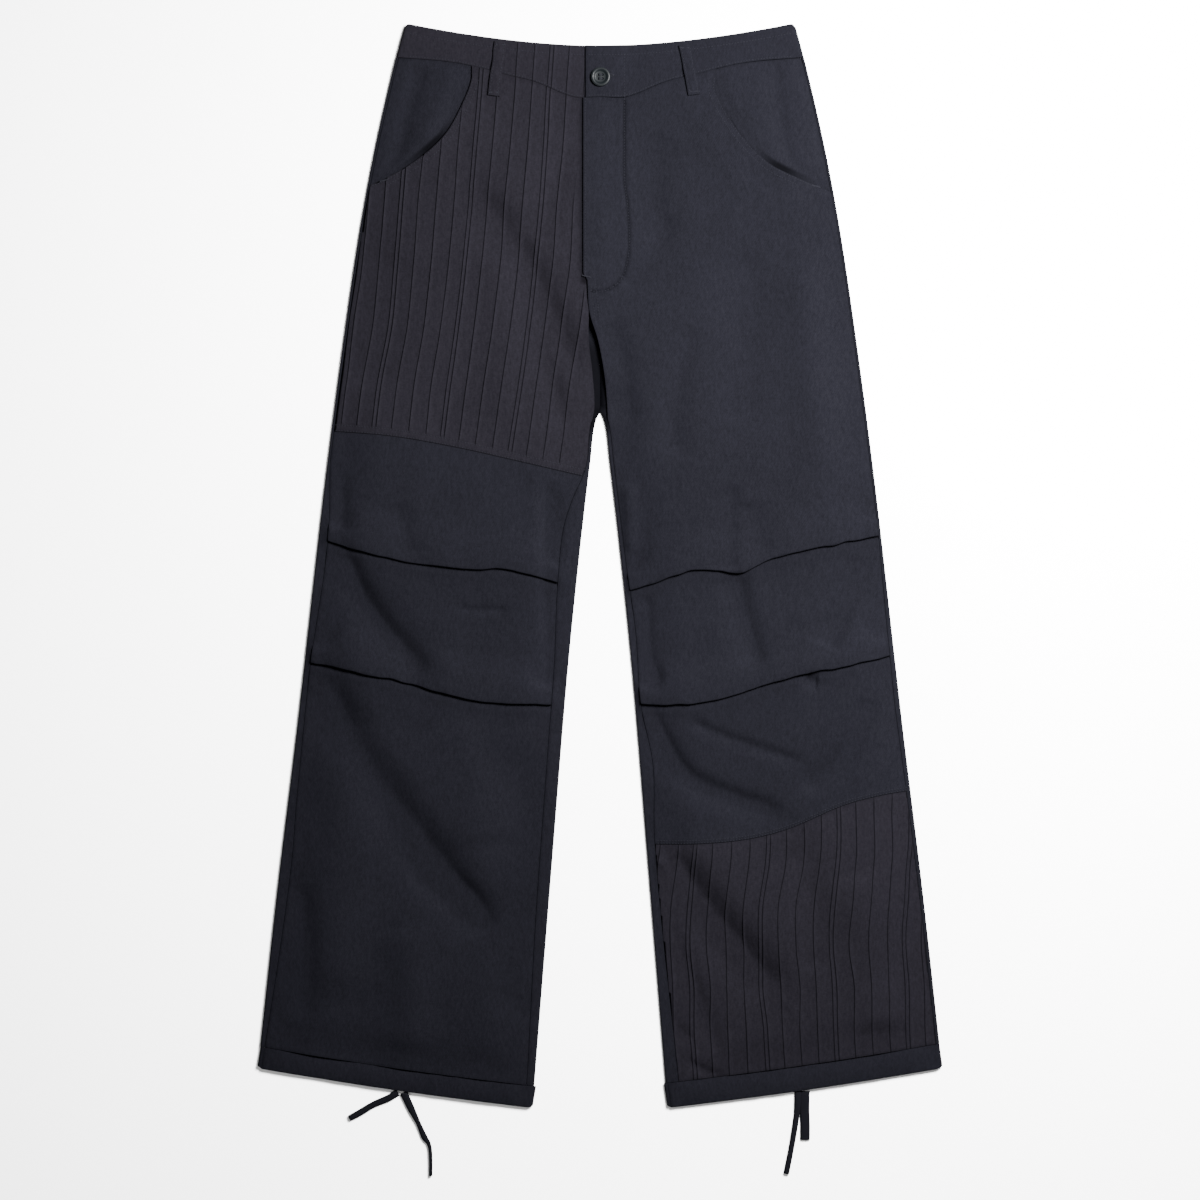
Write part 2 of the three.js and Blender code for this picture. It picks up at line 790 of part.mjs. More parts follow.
// The section of a knee tuck, from above it to below it, as down and height.
function tuckSection(fold) {
  const back = fold - TUCK_DEPTH;
  const half = PITCH / 2;
  const turn = (centreDown, centreHigh, way) =>
    steps(90, -90, ROLL_TURNS).map((angle) => {
      const bearing = THREE.MathUtils.degToRad(angle);
      return [centreDown + way * half * Math.cos(bearing), centreHigh + half * Math.sin(bearing)];
    });
  return [
    [back - TUCK_RAMP, 0],
    [back - TUCK_RAMP * 0.7, TUCK_TOP * 0.22],
    [back - TUCK_RAMP * 0.35, TUCK_TOP * 0.78],
    [back - 1.5, TUCK_TOP],
    ...turn(fold - half, TUCK_TOP - half, 1),
    ...turn(back + half, half, -1),
    [fold + 5, 0],
  ];
}

// A front with knee tucks, made of columns down the leg and then cut out.
function tuckedFront(leg, xs, start, end, spans, outline) {
  const folds = TUCKS[leg].map((rows) => through(rows, "x", "down"));
  const sections = xs.map((x) => {
    const line = [];
    let from = start(x);
    folds.forEach((fold, i) => {
      const tuck = tuckSection(fold(x));
      const free = steps(from, tuck[0][0], spans[i]).slice(0, -1);
      line.push(...free.map((down) => [down, 0]), ...tuck);
      from = tuck.at(-1)[0];
    });
    line.push(...steps(from, end(x), spans.at(-1)).slice(1).map((down) => [down, 0]));
    return line.map(([down, high]) => {
      const level = frontHeight(leg, x, down) + CLOTH / 2;
      return new THREE.Vector2(down, level + high);
    });
  });
  const sides = sections.map(normals);
  const place = (column, row, way) => {
    const p = sections[column][row];
    const n = sides[column][row];
    const reach = (way * CLOTH) / 2;
    return new THREE.Vector3(xs[column], up(p.x + n.x * reach), p.y + n.y * reach);
  };
  const grid = (way) => sections[0].map((_, row) => xs.map((_x, column) => place(column, row, way)));
  return wall(grid(1), grid(-1)).intersect(prism(outline));
}

function frontRightLeg() {
  const side = (down) => sideSeam("right")(down) + GAP;
  const inner = (down) => inseam("right")(down) - GAP;
  const top = (x) => thighSeam(x) + GAP / 2;
  const foot = (x) => hemSeam("right")(x) - GAP / 2;
  const sideTop = meeting(side, top, 408);
  const innerTop = meeting(inner, top, 455);
  const sideFoot = meeting(side, foot, 1022);
  const innerFoot = meeting(inner, foot, 1060);
  const outline = [
    ...byX(top, side(sideTop), inner(innerTop) - 3),
    ...byDown(inner, innerTop, innerFoot),
    ...byX(foot, inner(innerFoot) - 8, side(sideFoot) + 8),
    ...byDown(side, sideFoot, sideTop + 8),
  ];
  const xs = steps(-350, -5, 13);
  const above = (x) => thighSeam(x) - 6;
  const below = (x) => hemSeam("right")(x) + 6;
  return tuckedFront("right", xs, above, below, [3, 4, 8], outline);
}

function frontLeft() {
  const top = (x) => bandSeam(x) + GAP / 2;
  const foot = (x) => cuffSeam(x) - GAP / 2;
  const side = (down) => sideSeam("left")(down) - GAP;
  const centre = frontCentre("left");
  const pocketTop = pocketLine.left.filter((p) => p.y > top(p.x));
  const pocketEnd = pocketLine.left.at(-1).y + 1;
  const sideFoot = meeting(side, foot, 767);
  const innerFoot = meeting(centre, foot, 821);
  const outline = [
    ...byX(top, FLY_EDGE, pocketTop[0].x - 0.5),
    ...pocketTop.filter((p) => p.x < side(p.y)).map((p) => [p.x, p.y]),
    ...byDown(side, pocketEnd, sideFoot),
    ...byX(foot, side(sideFoot) - 8, centre(innerFoot) + 6),
    ...byDown(centre, innerFoot, FLY_END + 1),
    [FLY_EDGE + 2, FLY_END - 3],
    [FLY_EDGE, FLY_END - 20],
  ];
  const xs = [-26, -8, 10, 26, ...steps(50, 330, 11)];
  return tuckedFront("left", xs, (x) => bandSeam(x) - 6, (x) => cuffSeam(x) + 6, [9, 4, 3], outline);
}

// The hip facing behind the pocket's mouth, with a little of it under the front.
function pocketFacing(leg) {
  const s = SIGN[leg];
  const top = (x) => bandSeam(x) + GAP / 2;
  const edge = (down) => sideSeam(leg)(down) - s * GAP;
  const line = pocketLine[leg];
  const under = line.map((p, i) => {
    const before = line[Math.max(0, i - 1)];
    const after = line[Math.min(line.length - 1, i + 1)];
    const along = new THREE.Vector2().subVectors(after, before).normalize();
    const off = new THREE.Vector2(-along.y * s, along.x * s).multiplyScalar(POCKET_UNDERLAP);
    return [p.x + off.x, p.y + off.y];
  });
  const inPanel = under.filter(([x, down]) => down > top(x) + 1 && s * x < s * edge(down) - 1);
  const sideTop = meeting(edge, top, 34);
  const outline = [
    ...byX(top, inPanel[0][0], edge(sideTop)),
    ...byDown(edge, sideTop + 4, inPanel.at(-1)[1]),
    ...inPanel.reverse(),
  ];
  const level = (x, down) => FACING + waistRise(x, down);
  const surface = (high) => (x, down) => new THREE.Vector3(s * x, up(down), level(x, down) + high);
  const xs = s < 0 ? steps(250, 90, 5) : steps(90, 250, 5);
  const downs = [20, 50, 65, 90, 200];
  return heightWall(outline, xs, downs, surface(CLOTH), xs, downs, surface(0));
}

// The waistband's outline between two ends, with its side corner rounded.
function bandOutline(leg, end, margin) {
  const s = SIGN[leg];
  const edge = (down) => s * (outerEdge(down) - margin);
  const seam = (x) => bandSeam(x) - GAP / 2;
  const corner = edge(0);
  const sideFoot = meeting(edge, seam, 34);
  return [
    ...byX(waistTop, end, corner - s * WAIST_CORNER),
    [corner - s * WAIST_CORNER * 0.3, WAIST_CORNER * 0.3],
    [edge(WAIST_CORNER), WAIST_CORNER],
    [edge(sideFoot), sideFoot],
    ...byX(seam, edge(sideFoot) - s * 8, end),
  ];
}

const BAND_PLACES = {
  right: [-185, -160, -130, -113],
  left: [-20, 13, 18, 25, 32, 38, 70, 100, 130, 160, 185],
};

// Each half of the front waistband turns down at the side to meet the surface.
// The left half lies over the right one at the button.
function bandFront(leg) {
  const s = SIGN[leg];
  const mid = BAND_FRONT + BAND_CLOTH / 2;
  const over = BAND_CLOTH + GAP;
  const level = (x) => mid + (leg === "left" ? over * (1 - smooth(BAND_STEP.from, BAND_STEP.to, x)) : 0);
  const end = leg === "left" ? BAND_EDGE : BAND_UNDERLAP;
  const pleats = leg === "right" ? pleatColumns(THIGH_PLEATS, -230, 105) : [];
  const lean = through(THIGH_PLEATS.lean, "down", "x");
  const plain = BAND_PLACES[leg];
  const pleated = pleats.filter(({ at }) => {
    const x = at + lean(20);
    return x > BAND_PLEATS_FROM && x < BAND_EDGE - 4;
  });
  const loopClear = (x) => x < -116 || x > -88;
  const row = (down) => {
    const edge = s * (outerEdge(down) - BAND_CLOTH / 2);
    const turned = [
      [edge - s * 1.7, mid],
      [edge - s * 0.5, mid - 0.5],
      [edge, mid - 1.7],
      [edge, 0],
    ];
    const flat = plain.map((x) => [x, level(x), 0]);
    const ridged = pleated.map((c) => {
      const x = c.at + lean(down);
      return [x, mid, loopClear(x) ? c.rise * RIDGE : 0];
    });
    const front = [...flat, ...ridged];
    if (leg === "right") front.push([BAND_UNDERLAP + 8, mid, 0]);
    return leg === "left" ? [...front, ...turned] : [...turned.reverse(), ...front];
  };
  const outer = [];
  const inner = [];
  for (const down of [-6, 20, 45, 90]) {
    const points = row(down);
    const line = points.map(([x, z]) => new THREE.Vector2(x, z));
    const side = normals(line);
    const half = BAND_CLOTH / 2;
    const place = (p, i, reach, ridge) =>
      new THREE.Vector3(p.x + side[i].x * reach, up(down), p.y + side[i].y * reach + ridge);
    outer.push(line.map((p, i) => place(p, i, half, points[i][2] || 0)));
    inner.push(line.map((p, i) => place(p, i, -half, 0)));
  }
  return wall(outer, inner).intersect(prism(bandOutline(leg, end, 0), 0));
}

// Belt loops at the back lie in hollows of the band, so the underside is flat.
const BACK_LOOPS = { loop_back_centre: 0, loop_back_right: -118, loop_back_left: 118 };

function loopOutline(x, margin) {
  const half = LOOP_WIDE / 2 + margin;
  const top = waistTop(x) + 2 - margin;
  const foot = bandSeam(x) - 2 + margin;
  return [[x - half, top], [x - half, foot], [x + half, foot], [x + half, top]];
}

function bandBack() {
  const inset = BAND_CLOTH + 4 * GAP;
  const halves = ["left", "right"].map((leg) => bandOutline(leg, 0, inset));
  const lower = (points) => points.map(([x, down]) => [x, down < bandSeam(x) - 20 ? down + 0.8 : down]);
  let made = prism(lower(halves[0]), 0, BAND_BACK).add(prism(lower(halves[1]), 0, BAND_BACK));
  for (const x of Object.values(BACK_LOOPS)) made = made.subtract(prism(loopOutline(x, GAP), -1, PITCH));
  return made;
}

// A belt loop: a strip over the band, sewn at the waist and below the band.
function frontLoop(topX, topDown, footX, footDown) {
  const low = BAND_FRONT + BAND_CLOTH + 0.6;
  const section = [
    { share: 0, high: -0.2 },
    { share: 0.08, high: 0 },
    { share: 0.5, high: 1 },
    { share: 0.92, high: 1.2 },
    { share: 1, high: 1.1 },
  ];
  const half = LOOP_WIDE / 2;
  const grid = (over) => section.map(({ share, high }) => {
    const middle = topX + (footX - topX) * share;
    const down = topDown + (footDown - topDown) * share;
    return [-half, half].map((x) => new THREE.Vector3(middle + x, up(down), low + high + over));
  });
  return wall(grid(CLOTH), grid(0));
}

// A hem band: a folded tunnel right round the leg's end.
function hem(leg) {
  const s = SIGN[leg];
  const seam = hemSeam(leg);
  const section = (share) => {
    const atSeam = 1040 + share * 20;
    const outerX = s * (outerEdge(1020) + share * 3);
    const innerX = s * (innerEdge(atSeam) + share * 1.5);
    const low = HEM_CLOTH / 2;
    const high = FRONT + HEM_CLOTH / 2;
    const rightX = Math.max(outerX, innerX);
    const leftX = Math.min(outerX, innerX);
    const crown = (x) => new THREE.Vector2(x, high + LOFT * 0.4);
    const quarter = (rightX - leftX) / 4;
    return [
      crown(leftX + quarter),
      crown(leftX + 2 * quarter),
      crown(rightX - quarter),
      ...roundEdge(rightX, low, high, HEM_CLOTH, 1),
      ...steps(rightX - 30, leftX + 30, 5).map((x) => new THREE.Vector2(x, low)),
      ...roundEdge(leftX, low, high, HEM_CLOTH, -1),
    ];
  };
  const grid = (share, way) => {
    const line = section(share);
    const loop = [line.at(-1), ...line, line[0]];
    const side = normals(loop).slice(1, -1);
    return line.map((p, i) => {
      const x = p.x + (way * side[i].x * HEM_CLOTH) / 2;
      const z = p.y + (way * side[i].y * HEM_CLOTH) / 2;
      const down = seam(x) + GAP / 2 + share * (hemEdge(x) - seam(x) - GAP / 2);
      return new THREE.Vector3(x, up(down), z);
    });
  };
  const shares = [0, 0.5, 1];
  const tube = wall(shares.map((v) => grid(v, 1)), shares.map((v) => grid(v, -1)), true);
  const outer = s * 342.8;
  const inner = s * 60;
  const foot = hemEdge(outer);
  const corner = [
    [outer, foot - HEM_CORNER],
    [outer - s * HEM_CORNER * 0.3, foot - HEM_CORNER * 0.3 + HEM_SLOPE * 2],
    [outer - s * HEM_CORNER, hemEdge(outer - s * HEM_CORNER)],
  ];
  const innerFoot = innerEdge(1080);
  const heel = [
    [s * (innerFoot + HEM_CORNER), hemEdge(innerFoot + HEM_CORNER)],
    [s * (innerFoot + HEM_CORNER * 0.25), hemEdge(innerFoot) - HEM_CORNER * 0.3],
    [s * (innerFoot - 0.8), hemEdge(innerFoot) - HEM_CORNER],
  ];
  const sideways = [[inner, 990], [outer, 990]];
  return tube.intersect(prism([...sideways, ...corner, ...byX(hemEdge, s * 300, s * 90), ...heel]));
}

// A round button with a raised rim and four sewing holes.
function button() {
  const r = BUTTON_ACROSS / 2;
  const profile = [
    [0, 0], [r - 1.4, 0], [r - 0.3, 0.7], [r, 1.7], [r - 0.5, 2.8], [r - 1.6, BUTTON_THICK],
    [r - 2.8, 2.9], [r - 3.9, 2.1], [0, 1.9],
  ];
  const lathe = new THREE.LatheGeometry(profile.map(([x, z]) => new THREE.Vector2(x, z)), 24);
  lathe.rotateX(Math.PI / 2);
  let made = solid(lathe);
  for (const x of [-1.9, 1.9]) {
    for (const y of [-1.9, 1.9]) {
      const hole = new THREE.CylinderGeometry(1, 1, 3 * BUTTON_THICK, 8);
      hole.rotateX(Math.PI / 2);
      hole.translate(x, y, 0);
      made = made.subtract(solid(hole));
    }
  }
  return made.translate([0.5, up(BUTTON_DOWN), BAND_FRONT + 2 * BAND_CLOTH + 2 * GAP]);
}

// A tail of flat tape along its route.
function cord({ route, wide, thick }) {
  const section = new THREE.Shape();
  for (let i = 0; i < CORD_FACETS; i += 1) {
    const bearing = ((i + 0.5) / CORD_FACETS) * 2 * Math.PI;
    const reach = 1 / Math.cos(Math.PI / CORD_FACETS);
    const place = [(thick / 2) * reach * Math.cos(bearing), (wide / 2) * reach * Math.sin(bearing)];
    if (i === 0) section.moveTo(...place);
    else section.lineTo(...place);
  }
  section.closePath();
  const path = new THREE.CatmullRomCurve3(route.map((p) => new THREE.Vector3(...p)));
  const count = Math.ceil(path.getLength() / 6);
  const along = { steps: count, extrudePath: path, bevelEnabled: false };
  return solid(new THREE.ExtrudeGeometry(section, along));
}

const garment = new THREE.Group();

// Joins corners closer than a sliver's width, and drops the triangles they close.
function weld({ vertProperties, triVerts }) {
  const stand = Array.from({ length: vertProperties.length / 3 }, (_, i) => i);
  const find = (i) => (stand[i] === i ? i : find(stand[i]));
  const point = (i) => new THREE.Vector3().fromArray(vertProperties, 3 * i);
  const corners = (t) => [0, 1, 2].map((k) => find(triVerts[t + k]));
  for (let t = 0; t < triVerts.length; t += 3) {
    for (const k of [0, 1, 2]) {
      const a = corners(t)[k];
      const b = corners(t)[(k + 1) % 3];
      if (point(a).distanceTo(point(b)) < SLIVER) stand[Math.max(a, b)] = Math.min(a, b);
    }
  }
  const kept = [];
  for (let t = 0; t < triVerts.length; t += 3) {
    const trio = corners(t);
    if (new Set(trio).size === 3) kept.push(...trio);
  }
  const mesh = new wasm.Mesh({ numProp: 3, vertProperties, triVerts: Uint32Array.from(kept) });
  return new wasm.Manifold(mesh);
}

// Adds a solid as a named mesh, without the slivers that a cut leaves.
function add(group, name, made, finish) {
  const { vertProperties, triVerts } = weld(made.simplify(SLIVER).getMesh()).simplify(SLIVER).getMesh();
  const geometry = new THREE.BufferGeometry();
  geometry.setAttribute("position", new THREE.BufferAttribute(vertProperties, 3));
  geometry.setIndex(new THREE.BufferAttribute(triVerts, 1));
  geometry.computeVertexNormals();
  const mesh = new THREE.Mesh(geometry, finish);
  mesh.name = name;
  group.add(mesh);
}

const back = new THREE.Group();
const front = new THREE.Group();
const waist = new THREE.Group();
const hems = new THREE.Group();
garment.add(back, front, waist, hems);

for (const leg of ["right", "left"]) {
  add(back, `back_${leg}`, backPanel(leg), FINISH.twill);
  add(front, `pocket_facing_${leg}`, pocketFacing(leg), FINISH.twill);
  add(waist, `waistband_front_${leg}`, bandFront(leg), leg === "right" ? FINISH.pleated : FINISH.twill);
  add(hems, `hem_${leg}`, hem(leg), FINISH.twill);
}
add(front, "front_right_thigh", frontRightThigh(), FINISH.pleated);
add(front, "front_right_leg", frontRightLeg(), FINISH.twill);
add(front, "front_left", frontLeft(), FINISH.twill);
add(front, "front_left_cuff", frontLeftCuff(), FINISH.pleated);
add(waist, "waistband_back", bandBack(), FINISH.twill);
for (const [name, x] of Object.entries(BACK_LOOPS)) {
  add(waist, name, prism(loopOutline(x, 0), 0, CLOTH), FINISH.twill);
}
add(waist, "loop_front_right", frontLoop(-99.5, 19, -106.5, 73), FINISH.pleated);
add(waist, "loop_front_left", frontLoop(84.5, 22, 94.5, 72), FINISH.twill);
add(waist, "button", button(), FINISH.button);
for (const [name, tail] of Object.entries(CORDS)) add(hems, name, cord(tail), FINISH.twill);

export default garment;
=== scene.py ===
"""Wide-leg trousers laid flat with the front up, dressed for a studio picture."""

import math

import bmesh
import bpy
import numpy as np
from bpy.props import FloatProperty, FloatVectorProperty, IntProperty, PointerProperty
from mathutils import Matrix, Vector


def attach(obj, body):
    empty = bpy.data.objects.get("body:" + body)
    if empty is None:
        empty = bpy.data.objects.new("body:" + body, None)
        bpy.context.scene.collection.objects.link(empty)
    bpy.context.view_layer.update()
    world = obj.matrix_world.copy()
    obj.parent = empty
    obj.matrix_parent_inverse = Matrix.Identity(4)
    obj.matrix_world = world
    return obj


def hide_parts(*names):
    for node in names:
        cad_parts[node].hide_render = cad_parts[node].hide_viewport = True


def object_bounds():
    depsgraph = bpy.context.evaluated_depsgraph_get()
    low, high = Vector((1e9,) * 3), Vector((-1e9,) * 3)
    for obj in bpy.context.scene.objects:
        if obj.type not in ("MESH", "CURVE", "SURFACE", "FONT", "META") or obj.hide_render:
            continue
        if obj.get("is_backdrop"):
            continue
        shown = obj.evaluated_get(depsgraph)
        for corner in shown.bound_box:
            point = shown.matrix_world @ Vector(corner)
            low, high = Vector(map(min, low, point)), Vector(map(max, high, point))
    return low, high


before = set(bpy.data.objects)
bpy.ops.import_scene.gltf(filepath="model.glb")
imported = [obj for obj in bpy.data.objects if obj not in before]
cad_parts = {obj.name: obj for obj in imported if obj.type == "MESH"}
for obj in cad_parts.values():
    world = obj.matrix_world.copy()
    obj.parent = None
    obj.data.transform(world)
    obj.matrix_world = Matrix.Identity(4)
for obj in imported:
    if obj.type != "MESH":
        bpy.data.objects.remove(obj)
CAD_BOX = [[float(value) for value in corner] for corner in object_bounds()]

bl_info = {
    "name": "Flat-laid trousers",
    "version": (1, 0, 0),
    "blender": (4, 5, 0),
    "location": "View3D > Sidebar > Trousers",
    "description": "Builds wide-leg trousers that lie flat, with their sewing and a studio",
    "category": "Object",
}

# Sizes are in millimetres until a mesh is made. "down" is the distance below the
# side corners of the waist, "side" the distance from the centre line.
MM = 0.001
SIGN = {"right": -1, "left": 1}

# The outline.
LENGTH = 1085
WAIST_HALF = 195
WAIST_DIP = 22.7
WAIST_CURVE = 1.75
WAIST_CORNER = 4
WAIST_CORNER_SIDE = 190.2
CROTCH = 388
INSEAM_START = 397
HEM_TOP_SIDE = 70
HEM_WIDE = 272
HEM_SLOPE = 0.145
HEM_BOW = 2
HEM_CORNER = 6
HEM_TALL = {"right": 22, "left": 25}

# The cloth: its thickness, the gaps between layers and the height each layer starts at.
CLOTH = 1.2
BAND_CLOTH = 1.6
HEM_CLOTH = 1.6
GAP = 0.3
CENTRE_SEAM_GAP = 0.02
PITCH = CLOTH + GAP
RIM = 0.3
FLOOR_CLEARANCE = 0.02
FRONT = 2.2
FACING = 1.6
BAND_BACK = 2.6
BAND_FRONT = BAND_BACK + GAP

# How the front swells between its flat edges.
WAIST_RISE = 0.8
WAIST_RISE_REACH = 45
LOFT_REACH = 55
LOFT_AT_HEM = 0.4
LOFT_FROM_BAND = 90
LOFT_FROM_HEM = 40
FOLD_FROM_EDGE = 12
LUMPS_AT_EDGE = 0.25
EASE = 0.25

# Knee tucks, pintucks and felled seams.
TUCK_DEPTH = 12
TUCK_RAMP = 38
TUCK_TOP = 2 * PITCH
TUCK_ROWS = 16
TUCK_UNDERLAY = 9.4
SEARCH_FROM = 500.0
PINTUCK_PROFILE = ((-1.3, 0), (-0.7, 0.1), (-0.3, 0.85), (0.15, 1), (0.7, 0.45), (1.5, 0))
THIGH_PINTUCKS = {"spacing": 17.3, "from": -12, "to": 3, "span": (-245, 115), "fill": 3.2}
CUFF_PINTUCKS = {"spacing": 17.9, "from": -8, "to": 11, "span": (-170, 215), "fill": 3.2}
BAND_PINTUCKS = {"spacing": 17.3, "from": -4, "to": 2, "span": (-170, 60), "fill": 3.0}
TWIN_APART = 2
TWIN_EVERY = 4
FELL = 0.35
THIGH_FELL = 7.5
CUFF_FELL = 3.8

# Pockets and fly.
POCKET_UNDERLAP = 12
POCKET_GAPE_AT = {"right": 0.5, "left": 0.7}
POCKET_GAPE = {"right": 1.4, "left": 2.2}
FLY_EDGE = -16.8
FLY_UNDERLAP = -6
FLY_END = 255
FLY_FLAT = 268

# Waistband, belt loops and button.
BAND_EDGE = -14.4
BAND_UNDERLAP = 12
BAND_PLEATS_FROM = -112
BAND_STITCH = 9.5
LOOP_WIDE = 12
LOOP_TACK = 3.2
STITCH_HIGH = 0.05
BUTTON_AT = (0.5, 54.3)
BUTTON_HOLES = 1.9
BUTTON_FACETS = 72
BUTTON_BACK = ((9.65, 1.2), (9.25, 0.5), (8.35, 0.02), (4, 0.0), (0.2, 0.0))
BACK_LOOPS = {"loop_back_centre": 0, "loop_back_right": -118, "loop_back_left": 118}
FRONT_LOOPS = {
    "right": {"top": (-99.5, 19), "foot": (-106.5, 73)},
    "left": {"top": (84.5, 22), "foot": (94.5, 72)},
}


def table(names, *rows):
    """A short table, as one array for each named column."""
    return dict(zip(names.split(), np.array(rows, float).T))


OUTER_EDGE = table(
    "down side",
    (0, 195), (41, 206), (126, 225.5), (207, 240.5), (337, 259.5), (457, 275), (707, 303.5),
    (867, 323), (1046, 342.6),
)
INNER_EDGE = table(
    "down side", (388, 0.15), (397, 4), (438, 9.5), (528, 20), (646, 32), (839, 47.8), (1085, 67.5)
)
BAND_SEAM = table("side down", (0, 74), (25, 74), (67, 58), (92, 52), (142, 40), (206, 34))
SIDE_INSET = {
    "right": table(
        "down inset",
        (440, 2.6), (512, 9.5), (650, 6), (780, 8.5), (835, 11), (925, 9.4), (1022, 4.8),
    ),
    "left": table("down inset", (500, 2.6), (568, 4), (681, 5.5), (760, 4.5), (1022, 3.5)),
}
INSEAM_INSET = {
    "right": table(
        "down inset",
        (397, 3.7), (447, 4.4), (477, 13.5), (503, 18.7), (553, 19), (645, 14), (723, 13.2),
        (890, 12), (1050, 7.8),
    ),
    "left": table(
        "down inset",
        (397, 3.7), (540, 4.5), (609, 7), (681, 5.5), (741, 12.6), (813, 8.5), (1059, 13),
    ),
}
CENTRE_EDGE = {
    "right": table(
        "down x", (258, -13.3), (290, -11), (313, -11.5), (351, -7.5), (385, -5.6), (397, -7.7)
    ),
    "left": table(
        "down x", (258, -12.7), (290, -10.4), (318, -2), (354, 4.6), (387, 7.4), (397, 7.7)
    ),
}
POCKET = {
    "right": table(
        "x down",
        (-128, 56), (-134, 73), (-153, 110), (-180, 135.5), (-215, 156), (-232, 162.5),
    ),
    "left": table(
        "x down",
        (115.5, 56), (117, 73), (140.7, 112), (167.5, 140), (194, 154), (234.5, 170),
    ),
}
THIGH_SEAM = table(
    "x down", (-270, 408), (-204, 414), (-138, 425.8), (-95, 435.4), (-16, 453.5), (0, 457)
)
CUFF_SEAM = table(
    "x down",
    (48, 821.5), (102, 820.5), (150, 815.7), (186, 806.6), (246, 781.4), (284, 771.8), (315, 767),
)
TUCKS = {
    "right": [
        table(
            "x down",
            (-290, 512), (-251, 524), (-188, 539.3), (-132, 545.7), (-94, 546.2),
            (-44.6, 558.3), (-20, 566),
        ),
        table(
            "x down",
            (-310, 634), (-233, 650.8), (-183, 662), (-132, 676), (-94, 680), (-20, 681),
        ),
    ],
    "left": [
        table(
            "x down",
            (20, 569.8), (48, 561), (91, 547.8), (117, 547), (141, 549), (173, 534.6),
            (216, 525), (290, 510.5),
        ),
        table("x down", (25, 681), (84, 681), (132, 672), (178, 657), (240, 643.8), (305, 629)),
    ],
}
THIGH_LEAN = table("down x", (20, -47), (127, -55), (277, -69), (402, -86.5), (470, -97))
CUFF_LEAN = table("down x", (760, 167), (822, 168), (897, 160.8), (960, 163), (1065, 168))

# Troughs and ridges of the front, each a soft bend through three places. "keen" is
# how much steeper its right-hand side is than its left-hand one.
CREASES = table(
    "x down mid_x mid_down end_x end_down width rise keen",
    (-259, 530, -223, 596, -172, 652, 15, -1.9, 0.4),
    (-279, 657, -205, 785, -115, 904, 24, -2.2, 0.3),
    (-183, 840, -133, 874, -112, 910, 14, -1.2, 0.4),
    (-248, 648, -172, 775, -86, 888, 34, 0.8, -0.3),
    (-226, 545, -180, 590, -140, 648, 24, 0.6, -0.3),
    (-52, 457, -50, 570, -47, 677, 10, -1.7, -0.3),
    (-240, 700, -250, 830, -262, 980, 32, 1.4, 0),
    (-127, 167, -73, 240, -24, 352, 20, -1.5, 0.45),
    (-66, 317, -48, 360, -36, 405, 11, -1.0, 0.3),
    (-104, 230, -96, 320, -100, 400, 18, 0.8, 0.1),
    (145, 228, 147, 310, 141, 405, 22, -1.4, 0.2),
    (200, 240, 214, 340, 222, 450, 22, 0.9, 0.1),
    (20, 262, 50, 236, 68, 190, 12, -0.8, 0.3),
    (6, 300, 22, 340, 26, 400, 14, -0.9, 0.2),
    (-262, 452, -260, 480, -261, 508, 8, -0.8, 0),
    (-142, 586, -118, 587, -94, 588, 4, -0.5, 0),
    (-205, 480, -196, 508, -192, 534, 12, -0.7, 0.2),
    (-150, 700, -120, 760, -108, 820, 26, 0.9, 0.2),
    (-90, 720, -80, 850, -84, 1000, 30, -1.1, 0.2),
    (-300, 860, -292, 930, -296, 1000, 14, -0.8, 0.2),
    (-200, 905, -188, 960, -190, 1030, 22, 0.9, 0),
    (131, 462, 130, 515, 129, 548, 14, -0.9, 0.6),
    (150, 478, 156, 515, 170, 535, 16, -0.9, 0),
    (133, 549, 145, 600, 158, 645, 14, -1.7, 0.3),
    (266, 535, 240, 597, 228, 626, 12, -1.6, 0.4),
    (43, 573, 45, 631, 59, 662, 9, -1.2, 0.3),
    (28, 460, 30, 495, 27, 530, 8, 0.9, 0),
    (46, 690, 90, 755, 182, 791, 12, -1.9, 0.4),
    (91, 698, 130, 715, 204, 739, 6, -0.8, 0.4),
    (271, 676, 250, 730, 204, 767, 11, -1.7, 0.4),
    (70, 833, 116, 900, 172, 968, 21, -2.1, 0.35),
    (96, 822, 146, 884, 200, 950, 27, 1.1, -0.35),
    (62, 905, 92, 960, 118, 1030, 12, -0.9, 0.3),
    (60, 835, 66, 850, 74, 870, 5, 0.7, 0.2),
    (64, 990, 76, 1004, 92, 1018, 6, -0.7, 0.3),
    (91, 300, 77, 368, 74, 436, 14, -0.9, 0.2),
    (-108, 150, -52, 232, -8, 330, 24, 0.7, -0.3),
    (250, 850, 270, 930, 275, 1010, 26, 1.2, 0),
    (88, 1038, 106, 1048, 126, 1055, 4, -0.8, 0.3),
    (-40, 120, -46, 170, -70, 215, 16, -0.8, 0.2),
    (60, 110, 50, 160, 54, 220, 18, -0.8, 0.2),
    (184, 195, 172, 290, 178, 410, 26, -0.7, 0.1),
    (-200, 230, -214, 300, -222, 370, 24, -0.9, 0.2),
    (205, 655, 211, 658, 218, 659, 7, -1.6, 0),
    (196, 820, 214, 880, 206, 950, 16, -0.8, 0.2),
)

# Soft lumps of the front: share of the height, lean, size across and down, and seed.
LUMPS = ((0.55, 0, (58, 92), 3), (0.3, 0.4, (24, 40), 5), (0.1, 0, (9, 14), 7))

